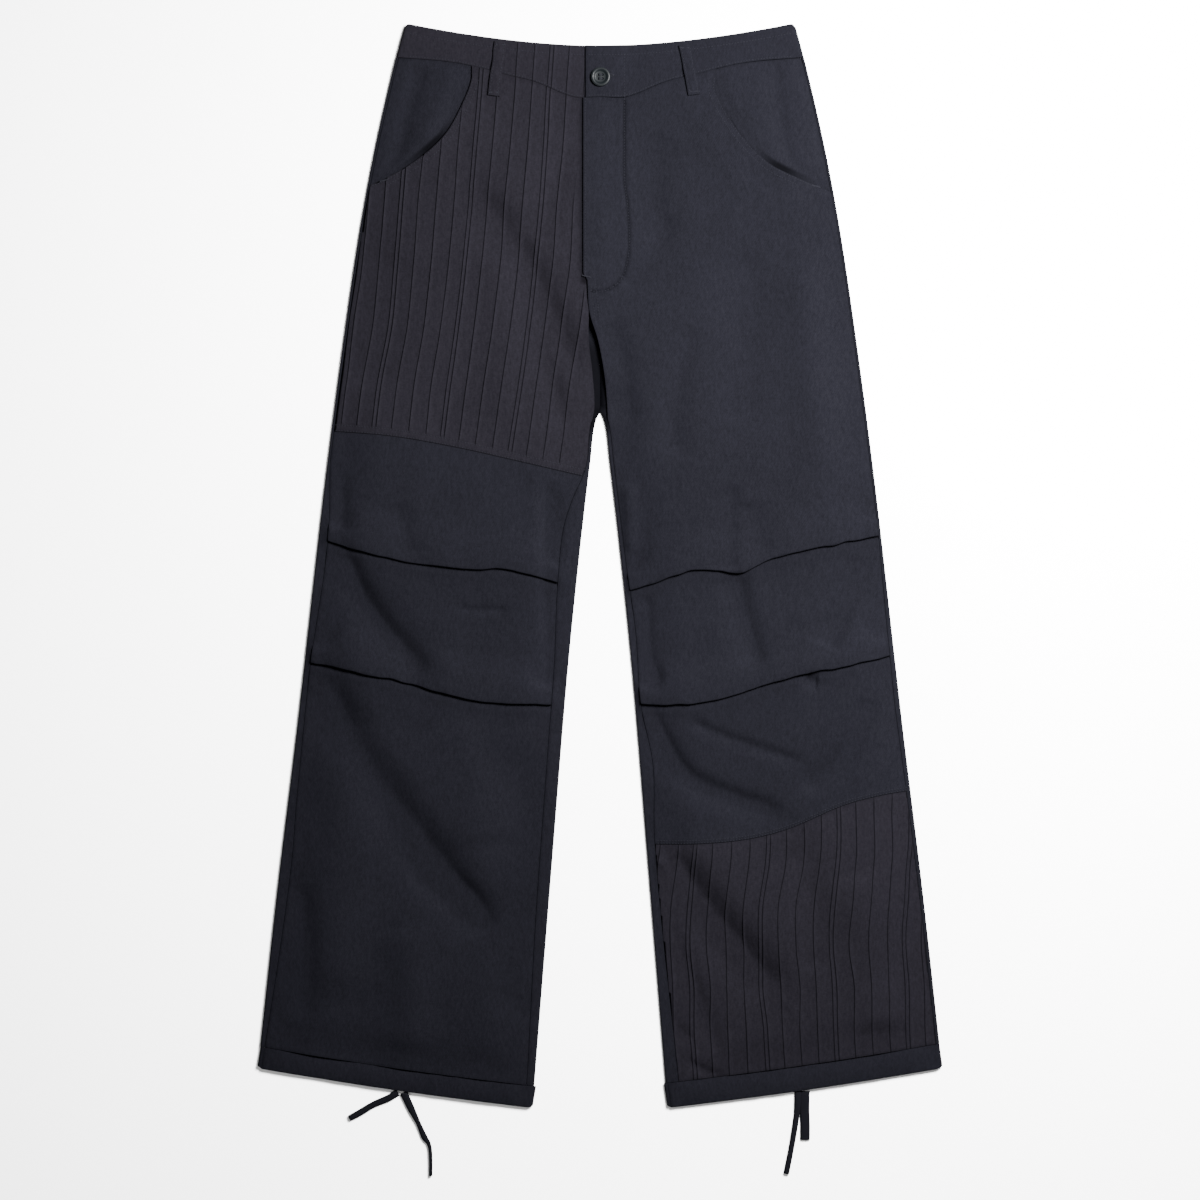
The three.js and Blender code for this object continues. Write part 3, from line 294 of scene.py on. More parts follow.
# Hollows of the hip beside the pockets' mouths.
HIP_CREASES = table(
    "x down mid_x mid_down end_x end_down width rise keen",
    (-178, 40, -190, 83, -210, 153, 11, -1.2, 0.3),
    (-148, 44, -160, 80, -182, 118, 8, 0.5, 0.3),
    (174, 37, 182, 107, 195, 154, 10, -1.3, 0.4),
    (204, 50, 212, 100, 218, 150, 10, 0.5, 0.2),
)

# How a front band turns over the side edge: in from the edge, and down from its top.
BAND_TURN = table(
    "inset fall",
    (7, 0), (3.4, 0), (2.2, 0.1), (1.4, 0.35), (0.7, 0.8), (0.2, 1.6), (0, 2.6), (0, 3.2), (0, 3.7),
)

BUTTON_FACE = table(
    "out high",
    (0, 1.95), (4.2, 1.9), (5.6, 2.1), (6.8, 2.85), (8, 3.2), (9, 2.9), (9.6, 2.2), (9.65, 1.6),
)

# The drawcord's free tails. Their routes are x, y and z; "wide" is the declared
# width of the tape, and the shares give its width along the way.
TAILS = {
    "tape_right_a": {
        "node": "cord_tail_right_a", "wide": 5.2, "thick": 2.2,
        "route": [(-202.5, -527.4, 1.3), (-212, -533.2, 1.3), (-227.4, -540, 1.3),
                  (-240, -547.5, 1.3), (-251, -553.4, 1.3)],
        "shares": [1.4, 1.35, 1.25, 1.3, 1.15], "roll": [0, 12, -8, 10, 0],
    },
    "tape_right_b": {
        "node": "cord_tail_right_b", "wide": 5.4, "thick": 2.3,
        "route": [(-196.6, -527.6, 1.5), (-189, -544, 1.5), (-182, -558, 1.5),
                  (-176, -572, 1.5), (-171, -580, 1.5), (-169.5, -592.6, 1.5),
                  (-169.5, -611, 1.5)],
        "shares": [1.5, 1.4, 1, 1.2, 0.85, 0.8, 0.75], "roll": [0, 10, 30, 10, 35, 40, 40],
    },
    "tape_left_a": {
        "node": "cord_tail_left_a", "wide": 8, "thick": 1.7,
        "route": [(205, -526.3, 1.1), (204.8, -537, 1.1), (205, -548, 1.1),
                  (205.4, -562, 1.1), (205.3, -575, 1.1)],
        "shares": [1.25, 1.25, 1.2, 1.22, 1.2], "roll": [6, 2, -3, 2, 0],
    },
    "tape_left_b": {
        "node": "cord_tail_left_b", "wide": 5, "thick": 2.2,
        "route": [(198, -526.5, 1.5), (197.6, -542, 1.5), (196.4, -554, 1.5),
                  (192, -581, 1.5), (186.5, -609, 1.5)],
        "shares": [1.35, 1.3, 1.2, 1.15, 1.15], "roll": [0, 8, -6, 14, 4],
    },
}


def through(rows, start, value):
    """A smooth curve through a table's rows, level beyond its ends."""
    at, level = rows[start], rows[value]
    secant = np.diff(level) / np.diff(at)
    slope = np.concatenate([secant[:1], (secant[:-1] + secant[1:]) / 2, secant[-1:]])

    def read(place):
        place = np.clip(place, at[0], at[-1])
        i = np.clip(np.searchsorted(at, place, side="right") - 1, 0, len(at) - 2)
        width = at[i + 1] - at[i]
        t = (place - at[i]) / width
        rest = level[i] + (level[i + 1] - level[i]) * (3 - 2 * t) * t * t
        return rest + width * t * (1 - t) * (slope[i] * (1 - t) - slope[i + 1] * t)

    return read


def smooth(low, high, value):
    """0 below low, 1 above high, and an even slope between them."""
    t = np.clip((value - low) / (high - low), 0, 1)
    return t * t * (3 - 2 * t)


def bell(away, reach):
    """1 where away is 0, and soon 0 beyond the reach."""
    return np.exp(-((away / reach) ** 2))


def settle(find, down, step=0.5, rounds=30):
    """Where down agrees with find(down), reached by small steps."""
    for _ in range(rounds):
        down = (1 - step) * down + step * find(down)
    return down


def beside(line, away):
    """The line that keeps its distance from another."""
    return lambda at: line(at) + away


def between(first, last, share):
    """The line at a share of the way from one line to another."""
    return lambda at: first(at) + share * (last(at) - first(at))


def curve(points, count):
    """Points along a smooth curve through the given ones."""
    p = np.asarray(points, float)
    at = np.linspace(0, len(p) - 1, count + 1)
    i = np.minimum(at.astype(int), len(p) - 2)
    t = (at - i)[:, None]
    before, here = p[np.maximum(i - 1, 0)], p[i]
    there, after = p[i + 1], p[np.minimum(i + 2, len(p) - 1)]
    leave, arrive = (there - before) / 2, (after - here) / 2
    cubic = (2 * here - 2 * there + leave + arrive) * t**3
    return cubic + (3 * there - 3 * here - 2 * leave - arrive) * t**2 + leave * t + here


def noise(x, down, size, seed):
    """Smooth lumps of about unit height; size is one number, or one each way."""
    wide, tall = size if isinstance(size, tuple) else (size, size)
    lattice = np.random.default_rng(seed).uniform(-1, 1, (97, 89))
    u, v = np.asarray(x, float) / wide + 500, np.asarray(down, float) / tall + 500
    i, j = np.floor(u).astype(int), np.floor(v).astype(int)
    s, t = u - i, v - j
    s, t = s * s * (3 - 2 * s), t * t * (3 - 2 * t)
    value = lambda a, b: lattice[(i + a) % 97, (j + b) % 89]
    low = value(0, 0) * (1 - s) + value(1, 0) * s
    high = value(0, 1) * (1 - s) + value(1, 1) * s
    return low * (1 - t) + high * t


def near(x, down, line, reach):
    """Distance to a line of points, the side it lies on, and the share along it."""
    best = np.full(np.shape(x), 9.0 * reach)
    side = np.ones(np.shape(x))
    share = np.zeros(np.shape(x))
    low, high = line.min(axis=0) - reach, line.max(axis=0) + reach
    close = (x > low[0]) & (x < high[0]) & (down > low[1]) & (down < high[1])
    if not close.any():
        return best, side, share
    px, py = x[close], down[close]
    found, sides, shares = best[close], side[close], share[close]
    count = len(line) - 1
    for i, (a, b) in enumerate(zip(line[:-1], line[1:])):
        along = b - a
        t = np.clip(((px - a[0]) * along[0] + (py - a[1]) * along[1]) / (along @ along), 0, 1)
        dx, dy = px - a[0] - t * along[0], py - a[1] - t * along[1]
        away = np.hypot(dx, dy)
        nearer = away < found
        found = np.where(nearer, away, found)
        sides = np.where(nearer, np.sign(along[1] * dx - along[0] * dy), sides)
        shares = np.where(nearer, (i + t) / count, shares)
    best[close], side[close], share[close] = found, sides, shares
    return best, side, share


outer_edge = through(OUTER_EDGE, "down", "side")
inner_edge = through(INNER_EDGE, "down", "side")
band_seam_side = through(BAND_SEAM, "side", "down")
thigh_seam = through(THIGH_SEAM, "x", "down")
cuff_seam = through(CUFF_SEAM, "x", "down")
thigh_lean = through(THIGH_LEAN, "down", "x")
cuff_lean = through(CUFF_LEAN, "down", "x")
side_inset = {leg: through(rows, "down", "inset") for leg, rows in SIDE_INSET.items()}
inseam_inset = {leg: through(rows, "down", "inset") for leg, rows in INSEAM_INSET.items()}
centre_edge = {leg: through(rows, "down", "x") for leg, rows in CENTRE_EDGE.items()}
tuck_folds = {leg: [through(rows, "x", "down") for rows in both] for leg, both in TUCKS.items()}
FLY_STITCH = curve(
    [(24.5, 76), (24.5, 110), (24.6, 157), (28, 187), (29, 227), (22, 255), (8, 267),
     (-4, 269), (-9, 268)], 90)
pocket_line = {
    leg: curve(np.stack([rows["x"], rows["down"]], axis=1), 28) for leg, rows in POCKET.items()
}


def bends(rows):
    """Each crease's line of points with its width, rise and keenness."""
    made = []
    for i in range(len(rows["x"])):
        row = {name: column[i] for name, column in rows.items()}
        places = [(row["x"], row["down"]), (row["mid_x"], row["mid_down"])]
        line = curve([*places, (row["end_x"], row["end_down"])], 8)
        made.append((line, row["width"], row["rise"], row["keen"]))
    return made


FRONT_BENDS = bends(CREASES)
HIP_BENDS = bends(HIP_CREASES)


def creased(x, down, lines):
    """Height of troughs and ridges that die out towards their ends."""
    height = np.zeros(np.shape(x))
    for line, width, rise, keen in lines:
        away, side, share = near(x, down, line, 3.2 * width)
        reach = width * (1 - keen * side * 0.6)
        fade = smooth(0, 0.22, share + 0.06) * smooth(0, 0.22, 1.06 - share)
        height += rise * fade * bell(away, reach)
    return height


def waist_top(x):
    return WAIST_DIP * (1 - np.minimum(1, np.abs(x) / WAIST_HALF) ** WAIST_CURVE)


def band_seam(x):
    return band_seam_side(np.abs(x))


def hem_edge(x):
    side = np.abs(x) - HEM_TOP_SIDE
    bow = HEM_BOW * np.sin(math.pi * np.clip(side / HEM_WIDE, 0, 1))
    return LENGTH - HEM_SLOPE * side + bow


def hem_seam(leg):
    return lambda x: hem_edge(x) - HEM_TALL[leg]


def side_seam(leg, down):
    return SIGN[leg] * (outer_edge(down) - side_inset[leg](down))


def inseam(leg, down):
    return SIGN[leg] * (inner_edge(down) + inseam_inset[leg](down))


def seam_of(line, leg, away):
    """A leg's side seam or inseam, moved across by a distance."""
    return lambda down: line(leg, down) + away


def front_centre(leg):
    """The front's edge at the centre: at the fly, then down to the inseam."""
    at_fly = FLY_UNDERLAP if leg == "right" else FLY_EDGE

    def read(down):
        legs = inseam(leg, down) + SIGN[leg] * GAP
        centre = np.where(down < INSEAM_START, centre_edge[leg](down), legs)
        return centre + (at_fly - centre) * (1 - smooth(FLY_END - 5, FLY_END + 3, down))

    return read


def pocket_edge(leg, down):
    line = pocket_line[leg]
    return np.interp(down, line[:, 1], line[:, 0])


def front_side(leg):
    """The front's outer edge: the pocket's mouth and then the side seam."""
    s = SIGN[leg]
    end = pocket_line[leg][-1, 1]

    def read(down):
        side = side_seam(leg, down) - s * GAP
        mouth = s * np.minimum(s * pocket_edge(leg, down), s * side)
        return np.where(down < end, mouth, side)

    return read


def waist_rise(x, down):
    return WAIST_RISE * (1 - smooth(0, WAIST_RISE_REACH, down - band_seam(x)))


def lift(x, down):
    """How far the front cloth stands above its level at the rolled edges."""
    side = np.abs(x)
    to_outer = outer_edge(down) - side
    to_inner = side - inner_edge(down) + np.maximum(0, CROTCH - down)
    to_edge = np.minimum(to_outer, to_inner)
    from_band = smooth(0, LOFT_FROM_BAND, down - band_seam(x))
    from_hem = smooth(0, LOFT_FROM_HEM, hem_edge(x) - HEM_TALL["left"] - down)
    free = smooth(0, FOLD_FROM_EDGE, to_edge)
    sizes = bpy.context.scene.trouser_sizes
    height = sizes.loft / MM * smooth(0, LOFT_REACH, to_edge)
    height = height * from_band * (LOFT_AT_HEM + (1 - LOFT_AT_HEM) * from_hem)
    lumps = sum(high * noise(x + lean * down, down, size, seed) for high, lean, size, seed in LUMPS)
    height += sizes.unevenness / MM * lumps * (LUMPS_AT_EDGE + (1 - LUMPS_AT_EDGE) * free)
    height += sizes.crease_depth / MM * creased(x, down, FRONT_BENDS) * free
    return 0.5 * (height + np.hypot(height, 0.7)) - 0.35 * (1 - free) + waist_rise(x, down)


def pocket_lift(leg, x, down):
    """The front lies over the pocket facing, gapes a little and eases down."""
    away, _, share = near(x, down, pocket_line[leg], 60)
    height = FACING + PITCH + EASE - FRONT
    gape = POCKET_GAPE[leg] * bell(share - POCKET_GAPE_AT[leg], 0.16) * bell(away, 9)
    return height * (1 - smooth(26, 52, away)) + gape


def fly_groove(x, down):
    """The fly's stitches press the cloth down along their curve."""
    away, _, _ = near(x, down, FLY_STITCH, 12)
    return 0.45 * bell(away, 1.9) - 0.25 * bell(away - 5, 3)


def fly_lift(x, down):
    """The left front lies over the right one at the fly."""
    across = 1 - smooth(-2, 26, x)
    return (PITCH + EASE) * across * (1 - smooth(FLY_FLAT, FLY_FLAT + 32, down))


def seam_pull(leg, x, down):
    """Seams draw the cloth down beside them, with small puckers along them."""
    lines = [(down - thigh_seam(x), x)] if leg == "right" else [(down - cuff_seam(x), x)]
    lines.append((side_seam(leg, down) - x, down))
    lines.append((inseam(leg, down) - x, down))
    height = np.zeros(np.shape(x))
    for number, (away, along) in enumerate(lines):
        pucker = noise(along, np.zeros_like(along), (7, 1), 31 + number)
        sewn = (down > INSEAM_START) if number == 2 else 1
        height -= sewn * (0.16 + 0.1 * pucker) * bell(away, 1.8)
        height += sewn * 0.16 * pucker * bell(away, 6)
    return height


def front_height(leg, x, down):
    """Height of the inside of a front panel."""
    height = FRONT + lift(x, down) + pocket_lift(leg, x, down) + seam_pull(leg, x, down)
    return height + (fly_lift(x, down) - fly_groove(x, down) if leg == "left" else 0)


def grid_normals(grid):
    """Unit normals of a grid of points on its outer side."""
    across = np.gradient(grid, axis=1)
    along = np.gradient(grid, axis=0)
    normal = np.cross(along, across)
    size = np.linalg.norm(normal, axis=2, keepdims=True)
    flat = np.broadcast_to(np.array([0.0, 0.0, 1.0]), grid.shape)
    return np.where(size > 1e-9, normal / np.maximum(size, 1e-9), flat)


def to_points(x, down, height):
    x, down, height = np.broadcast_arrays(x, down, height)
    return np.stack([x, LENGTH / 2 - down, height], axis=-1)


def mesh_object(name, points, faces, shade):
    """A smooth mesh in metres, with its painted shade kept as an attribute for its material."""
    mesh = bpy.data.meshes.new(name)
    mesh.from_pydata((np.asarray(points) * MM).tolist(), [], np.asarray(faces).tolist())
    kept = mesh.attributes.new("shade", "FLOAT", "POINT")
    kept.data.foreach_set("value", np.asarray(shade, np.float32).ravel())
    work = bmesh.new()
    work.from_mesh(mesh)
    bmesh.ops.remove_doubles(work, verts=work.verts, dist=3e-6)
    bmesh.ops.dissolve_degenerate(work, edges=work.edges, dist=1e-6)
    loose = [vert for vert in work.verts if not vert.link_faces]
    bmesh.ops.delete(work, geom=loose, context="VERTS")
    if work.calc_volume(signed=True) < 0:
        raise RuntimeError(f"{name} is inside out")
    work.to_mesh(mesh)
    work.free()
    mesh.shade_smooth()
    piece = bpy.data.objects.new(name, mesh)
    bpy.context.scene.collection.objects.link(piece)
    return piece


def shouldered(grid, spacing, axis):
    """A grid with one more line close inside each of its two ends."""
    first, second = np.take(grid, [0], axis), np.take(grid, [1], axis)
    last, before = np.take(grid, [-1], axis), np.take(grid, [-2], axis)
    inside = np.take(grid, range(1, grid.shape[axis] - 1), axis)
    start, end = (np.take(spacing, [i], axis) for i in (0, -1))
    if grid.ndim == 3:
        start, end = start[..., None], end[..., None]
    near_first, near_last = first + (second - first) * start, last + (before - last) * end
    return np.concatenate([first, near_first, inside, near_last, last], axis)


def shoulders(grids, axis):
    """The same extra lines for several grids, a rim's width from their ends."""
    step = np.linalg.norm(np.diff(grids[0], axis=axis), axis=2)
    share = np.clip(RIM / np.maximum(step, 1e-6), 0, 0.5)
    return [shouldered(grid, share, axis) for grid in grids]


def wall_mesh(name, outer, inner, shade=0.0, ring=False, thin=0.9, inside=0.3):
    """A closed wall between two grids, with a rounded rim round its edge; its inner face and its
    rim get painted shade.
    """
    shade, inside = (np.zeros(outer.shape[:2]) + tone for tone in (shade, inside))
    for axis in (0,) if ring else (0, 1):
        outer, inner, shade, inside = shoulders([outer, inner, shade, inside], axis)
    rows, columns = outer.shape[:2]
    count = rows * columns
    grid = np.arange(count).reshape(rows, columns)
    if ring:
        grid = np.concatenate([grid, grid[:, :1]], axis=1)
        loops = [grid[0], grid[-1][::-1]]
    else:
        loops = [np.concatenate([
            grid[0, :-1], grid[:-1, -1], grid[-1, :0:-1], grid[:0:-1, 0], grid[0, :1]])]
    corners = [grid[:-1, :-1], grid[1:, :-1], grid[1:, 1:], grid[:-1, 1:]]
    face = np.stack(corners, axis=-1).reshape(-1, 4)
    faces = [face, face[:, ::-1] + count]
    out, back = outer.reshape(-1, 3).copy(), inner.reshape(-1, 3).copy()
    tone = shade.ravel()
    points, tones, total = [], [], 2 * count
    for loop in loops:
        middle = (out[loop[:-1]] + back[loop[:-1]]) / 2
        out[loop[:-1]] = middle + (out[loop[:-1]] - middle) * thin
        back[loop[:-1]] = middle + (back[loop[:-1]] - middle) * thin
        rim = total + np.arange(len(loop) - 1)
        rim = np.append(rim, rim[0])
        faces.append(np.stack([loop[:-1], loop[1:], rim[1:], rim[:-1]], axis=1))
        faces.append(np.stack([rim[:-1], rim[1:], loop[1:] + count, loop[:-1] + count], axis=1))
        points.append(middle)
        # Painted shade on the rim, never less than 0.3.
        tones.append(np.maximum(tone[loop[:-1]], 0.3))
        total += len(loop) - 1
    everything = np.concatenate([out, back, *points])
    shades = np.concatenate([tone, inside.ravel(), *tones])
    return mesh_object(name, everything, np.concatenate(faces), shades)


def cloth_wall(name, middle, shade, raised=0.0, thick=CLOTH):
    """A wall of cloth about a grid of points, its outer face raised in places."""
    normal = grid_normals(middle)
    outer = middle + normal * (thick / 2 + np.asarray(raised)[..., None])
    return wall_mesh(name, outer, middle - normal * thick / 2, shade)


def seam_shade(away, reach=1.6):
    """Painted shade along a seam, where its groove would lie in shadow."""
    return 0.3 * bell(away, reach)


def edged(shade, x, down, edges, at_ends):
    """A front's painted shade, with painted shade along the seams round it."""
    left, right, top, foot = edges
    for side in (left, right):
        shade = np.maximum(shade, 0.8 * seam_shade(x - side(down), 1.2))
    for end in (top, foot):
        shade = np.maximum(shade, at_ends * seam_shade(down - end(x)))
    return shade


def steps(number):
    """Shares from 0 up to but not including 1, one in each row."""
    return np.linspace(0, 1, number, endpoint=False)[:, None]


def ruled(leg, edges, count, spans):
    """A front with knee tucks: columns in shares of its width, and folded rows."""
    left, right, top, foot = edges
    across = between(left, right, np.linspace(0, 1, count))
    meeting = lambda line: settle(lambda down: line(across(down)), np.full(count, SEARCH_FROM))
    half = PITCH / 2
    stands = bpy.context.scene.trouser_sizes.tuck_rise / MM
    downs, highs, tones = [], [], []

    def lay(down, high=0.0, tone=0.0):
        for kept, value in ((downs, down), (highs, high), (tones, tone)):
            kept.append(np.broadcast_to(value, down.shape))

    def run(start, end, number):
        return start + (end - start) * steps(number)

    start = meeting(top)
    for number, (fold_line, span) in enumerate(zip(tuck_folds[leg], spans)):
        fold = meeting(fold_line)
        x = across(fold)
        fold = fold + 1.1 * noise(x, fold, (13, 9), 41 + number)
        back = fold - TUCK_DEPTH
        crown = 1 + 0.22 * noise(x, fold, (26, 9), 47 + number)
        top_high = np.maximum(TUCK_TOP * crown + stands, 2 * PITCH)
        to_side = np.minimum(x - left(fold), right(fold) - x)
        late = 1 + 6 * (1 - smooth(0, 30, to_side))
        lay(run(start, back - TUCK_RAMP, span))
        ramp = smooth(0, 1, steps(TUCK_ROWS)**late)
        lay(run(back - TUCK_RAMP, back - 1, TUCK_ROWS), top_high * ramp)
        lay(run(back - 1, fold - half, 5), top_high + 0.25 * np.sin(np.linspace(0, 3, 5))[:, None])
        for way, middle, low, high, facets, tone in (
            (1, fold - half, PITCH, top_high, 8, 0.0), (-1, back + half, 0, PITCH, 5, 0.3),
        ):
            angle = np.radians(np.linspace(90, -90, facets))[:, None]
            turned = (high + low) / 2 + (high - low) / 2 * np.sin(angle)
            # Painted shade, a little darker on the lower half of each turn of the fold.
            lay(middle + way * half * np.cos(angle), turned, tone + (angle < 0) * 0.1)
        under = run(back + half + 0.4, fold + TUCK_UNDERLAY, 11)
        under = np.concatenate([under, (fold + TUCK_UNDERLAY)[None, :]])
        # Painted shadow on the layer under the tuck's fold.
        lay(under, 0.0, 0.7 * (1 - smooth(-1, 3, under - fold)))
        start = fold + TUCK_UNDERLAY + 0.4
    end = meeting(foot)
    lay(run(start, end, spans[-1]))
    lay(end[None, :])
    down, high, shade = (np.concatenate(kept) for kept in (downs, highs, tones))
    x = across(down)
    for line in tuck_folds[leg]:
        below = down - line(x)
        # Painted shadow below each tuck, fading over 24 mm.
        shade = np.maximum(shade, 0.2 * (below > 0) * (1 - smooth(0, 24, below)))
        high = high + 0.9 * smooth(1.5, 8, below) * (1 - smooth(8, 46, below))
    middle = to_points(x, down, front_height(leg, x, down) + CLOTH / 2 + high)
    return middle, edged(shade, x, down, edges, 0.6)


def pleat_columns(plan):
    """Columns across pintucked cloth, each with its share of a ridge's height."""
    columns = []
    for k in range(plan["from"], plan["to"] + 1):
        for top in (-TWIN_APART, TWIN_APART) if k % TWIN_EVERY == 0 else (0,):
            columns += [(k * plan["spacing"] + top + at, rise) for at, rise in PINTUCK_PROFILE]
    columns.sort()
    places = [column[0] for column in columns]
    start, end = plan["span"]
    for low, high in zip([start, *places], [*places, end]):
        extra = int((high - low) // plan["fill"])
        columns += [(low + (high - low) * (i + 1) / (extra + 1), 0) for i in range(extra)]
    return np.array(sorted([*columns, (start, 0), (end, 0)])).T


def pleated(leg, plan, lean, edges, shares, waver):
    """A pintucked front: its columns follow the pintucks and stop at its edges."""
    left, right, top, foot = edges
    at, ridge = pleat_columns(plan)
    place = lambda down: np.clip(at + lean(down) + waver(at, down), left(down), right(down))
    rows = between(top, foot, shares[:, None])
    start = np.broadcast_to((top(at) + foot(at)) / 2, (len(shares), len(at)))
    down = settle(lambda down: rows(place(down)), start, 0.6, 40)
    x = place(down)
    lost = (x <= left(down) + 0.5) | (x >= right(down) - 0.5)
    rise = np.where(lost, 0, ridge) * (1 + 0.22 * noise(at * 3, down, (9, 34), 17))
    # Painted shade: a dark line at the left foot of each pintuck.
    shade = np.where(lost, 0, 1.0 * (ridge > 0) * (ridge < 0.2))
    middle = to_points(x, down, front_height(leg, x, down) + CLOTH / 2)
    return middle, edged(shade, x, down, edges, 0.9), rise, x, down


def thigh_ridge(x, down):
    """Pintucks lie flat behind the fly and end at the felled seam."""
    clear = 1 - smooth(-30, -23, x) * (down < 270)
    return clear * smooth(THIGH_FELL - 0.6, THIGH_FELL + 2, thigh_seam(x) - down)


def right_thigh():
    ridge_high = bpy.context.scene.trouser_sizes.pintuck / MM
    edges = (front_side("right"), front_centre("right"),
             beside(band_seam, GAP / 2), beside(thigh_seam, -GAP / 2))
    shares = np.concatenate([0.955 * steps(96)[:, 0], np.linspace(0.955, 1, 15)])
    waver = lambda at, down: (0.8 + 0.8 * smooth(60, 160, down)) * noise(at, down, (30, 60), 61)
    made = pleated("right", THIGH_PINTUCKS, thigh_lean, edges, shares, waver)
    middle, shade, rise, x, down = made
    to_seam = thigh_seam(x) - down
    clear = thigh_ridge(x, down)
    felled = FELL * (1 - smooth(THIGH_FELL - 0.8, THIGH_FELL + 0.4, to_seam))
    # Painted shade: pintuck lines that have flattened keep less of it.
    shade = np.where(rise * clear < rise * 0.5, shade * 0.3, shade)
    # Painted shadow on the thigh beside the fly's edge.
    fly_edge_shadow = bell(np.minimum(0, x - FLY_EDGE), 3.2) * (down < FLY_END + 7)
    shade = np.maximum(shade, 0.85 * fly_edge_shadow)
    # Painted shade along the felled seam's edge.
    shade = np.maximum(shade, 0.5 * seam_shade(to_seam - THIGH_FELL, 1.2))
    return cloth_wall("thigh_right", middle, shade, ridge_high * rise * clear + felled)


def left_cuff():
    ridge_high = bpy.context.scene.trouser_sizes.pintuck / MM
    foot = beside(hem_seam("left"), -GAP / 2)
    edges = (seam_of(inseam, "left", GAP), seam_of(side_seam, "left", -GAP),
             beside(cuff_seam, GAP / 2), foot)
    waver = lambda at, down: 2.1 * noise(at, down, (30, 42), 67)
    made = pleated("left", CUFF_PINTUCKS, cuff_lean, edges, np.linspace(0, 1, 84), waver)
    middle, shade, rise, x, down = made
    ends = smooth(1, 5, down - cuff_seam(x)) * smooth(0.5, 3, foot(x) - down)
    return cloth_wall("cuff_left", middle, shade, ridge_high * rise * ends)


def right_leg():
    edges = (seam_of(side_seam, "right", GAP), seam_of(inseam, "right", -GAP),
             beside(thigh_seam, GAP / 2), beside(hem_seam("right"), -GAP / 2))
    return cloth_wall("leg_right", *ruled("right", edges, 104, (22, 28, 116)))


def left_front():
    edges = (front_centre("left"), front_side("left"),
             beside(band_seam, GAP / 2), beside(cuff_seam, -GAP / 2))
    middle, shade = ruled("left", edges, 146, (150, 28, 40))
    x, down = middle[..., 0], LENGTH / 2 - middle[..., 1]
    felled = FELL * (1 - smooth(CUFF_FELL - 0.6, CUFF_FELL + 0.6, cuff_seam(x) - down))
    # Painted shade along the fly's stitching, where its groove would lie in shadow.
    away, _, _ = near(x, down, FLY_STITCH, 12)
    return cloth_wall("front_left_panel", middle, np.maximum(shade, 0.75 * bell(away, 1.5)), felled)


def back_section(leg, down):
    """A back's way round its leg: over one edge, along the floor, over the other."""
    low = CLOTH / 2
    high = FRONT + CLOTH / 2 + waist_rise(outer_edge(down), down)
    radius = (high - low) / 2
    legs = smooth(CROTCH, INSEAM_START, down)
    outer_x = outer_edge(down)
    inner_x = np.where(down < CROTCH, CENTRE_SEAM_GAP / 2, inner_edge(down))
    roll_x = outer_x - CLOTH / 2 - radius
    seam_x = outer_x - side_inset[leg](down)
    in_high = low + (high - low) * legs
    in_radius = (in_high - low) / 2
    in_roll = inner_x + (CLOTH / 2) * legs + in_radius
    in_seam = inner_x + inseam_inset[leg](down) * legs
    roll = np.radians(np.linspace(90, -90, 9))
    route = [(seam_x + (roll_x - seam_x) * t, high) for t in np.linspace(0, 1, 5, endpoint=False)]
    route += [(roll_x + radius * np.cos(a), (high + low) / 2 + radius * np.sin(a)) for a in roll]
    route += [(roll_x + (in_roll - roll_x) * t, low) for t in np.linspace(0, 1, 26)[1:-1]]
    route += [(in_roll - in_radius * np.cos(a), (in_high + low) / 2 + in_radius * np.sin(a))
              for a in roll[::-1]]
    route += [(in_roll + (in_seam - in_roll) * t, in_high) for t in np.linspace(0, 1, 6)[1:]]
    return [np.stack([np.broadcast_to(spot[i], down.shape) for spot in route]) for i in (0, 1)]


def back_panel(leg):
    """A back lies on the surface and rolls over its leg's edges on to the front."""
    s = SIGN[leg]
    share = np.linspace(0, 1, 150)
    columns = len(back_section(leg, np.zeros(1))[0])
    pick = lambda down, part: np.stack([
        back_section(leg, row)[part][i] for i, row in enumerate(down)])
    rows = between(beside(band_seam, -GAP / 3), beside(hem_seam(leg), -GAP / 2), share)
    start = np.broadcast_to(40 + 1000 * share, (columns, len(share)))
    down = settle(lambda down: rows(pick(down, 0)), start)
    x, z = pick(down, 0), pick(down, 1)
    on_front = np.zeros_like(x)
    on_front[:6] = 1
    on_front[-6:] = smooth(CROTCH, INSEAM_START, down[-6:])
    z = z + on_front * (lift(s * x, down) - waist_rise(x, down) + seam_pull(leg, s * x, down))
    by_seam = np.zeros((columns, 1))
    by_seam[:6, 0], by_seam[-6:, 0] = np.linspace(1, 0, 6), np.linspace(0, 1, 6)
    for line in tuck_folds[leg]:
        below = down - line(s * x) + TUCK_DEPTH / 2
        z = z + by_seam * TUCK_TOP * 0.9 * bell(below, 10)
    order = slice(None, None, s)
    x, z, down, on_front = (part[order].T for part in (s * x, z, down, on_front))
    ahead_x, ahead_z = np.gradient(x, axis=1), np.gradient(z, axis=1)
    size = np.maximum(np.hypot(ahead_x, ahead_z), 1e-9)
    out_z = np.where(size < 1e-6, -1, ahead_x / size)
    side = np.stack([-ahead_z / size, np.zeros_like(x), out_z], axis=-1) * CLOTH / 2
    middle = to_points(x, down, z)
    edge = np.minimum(np.abs(x - side_seam(leg, down)), np.abs(x - inseam(leg, down)))
    # Painted shadow in the gap between the fronts above the crotch, on both faces of the back, with
    # painted shade along the seams.
    crotch_shadow = smooth(300, 332, down) * (1 - smooth(400, 424, down))
    crotch_shadow = crotch_shadow * (1 - smooth(9, 17, np.abs(x + 2)))
    shade = np.maximum(0.8 * seam_shade(edge, 1.6) * on_front, crotch_shadow)
    return wall_mesh(f"back_panel_{leg}", middle + side, middle - side, shade,
                     inside=np.maximum(0.3, crotch_shadow))


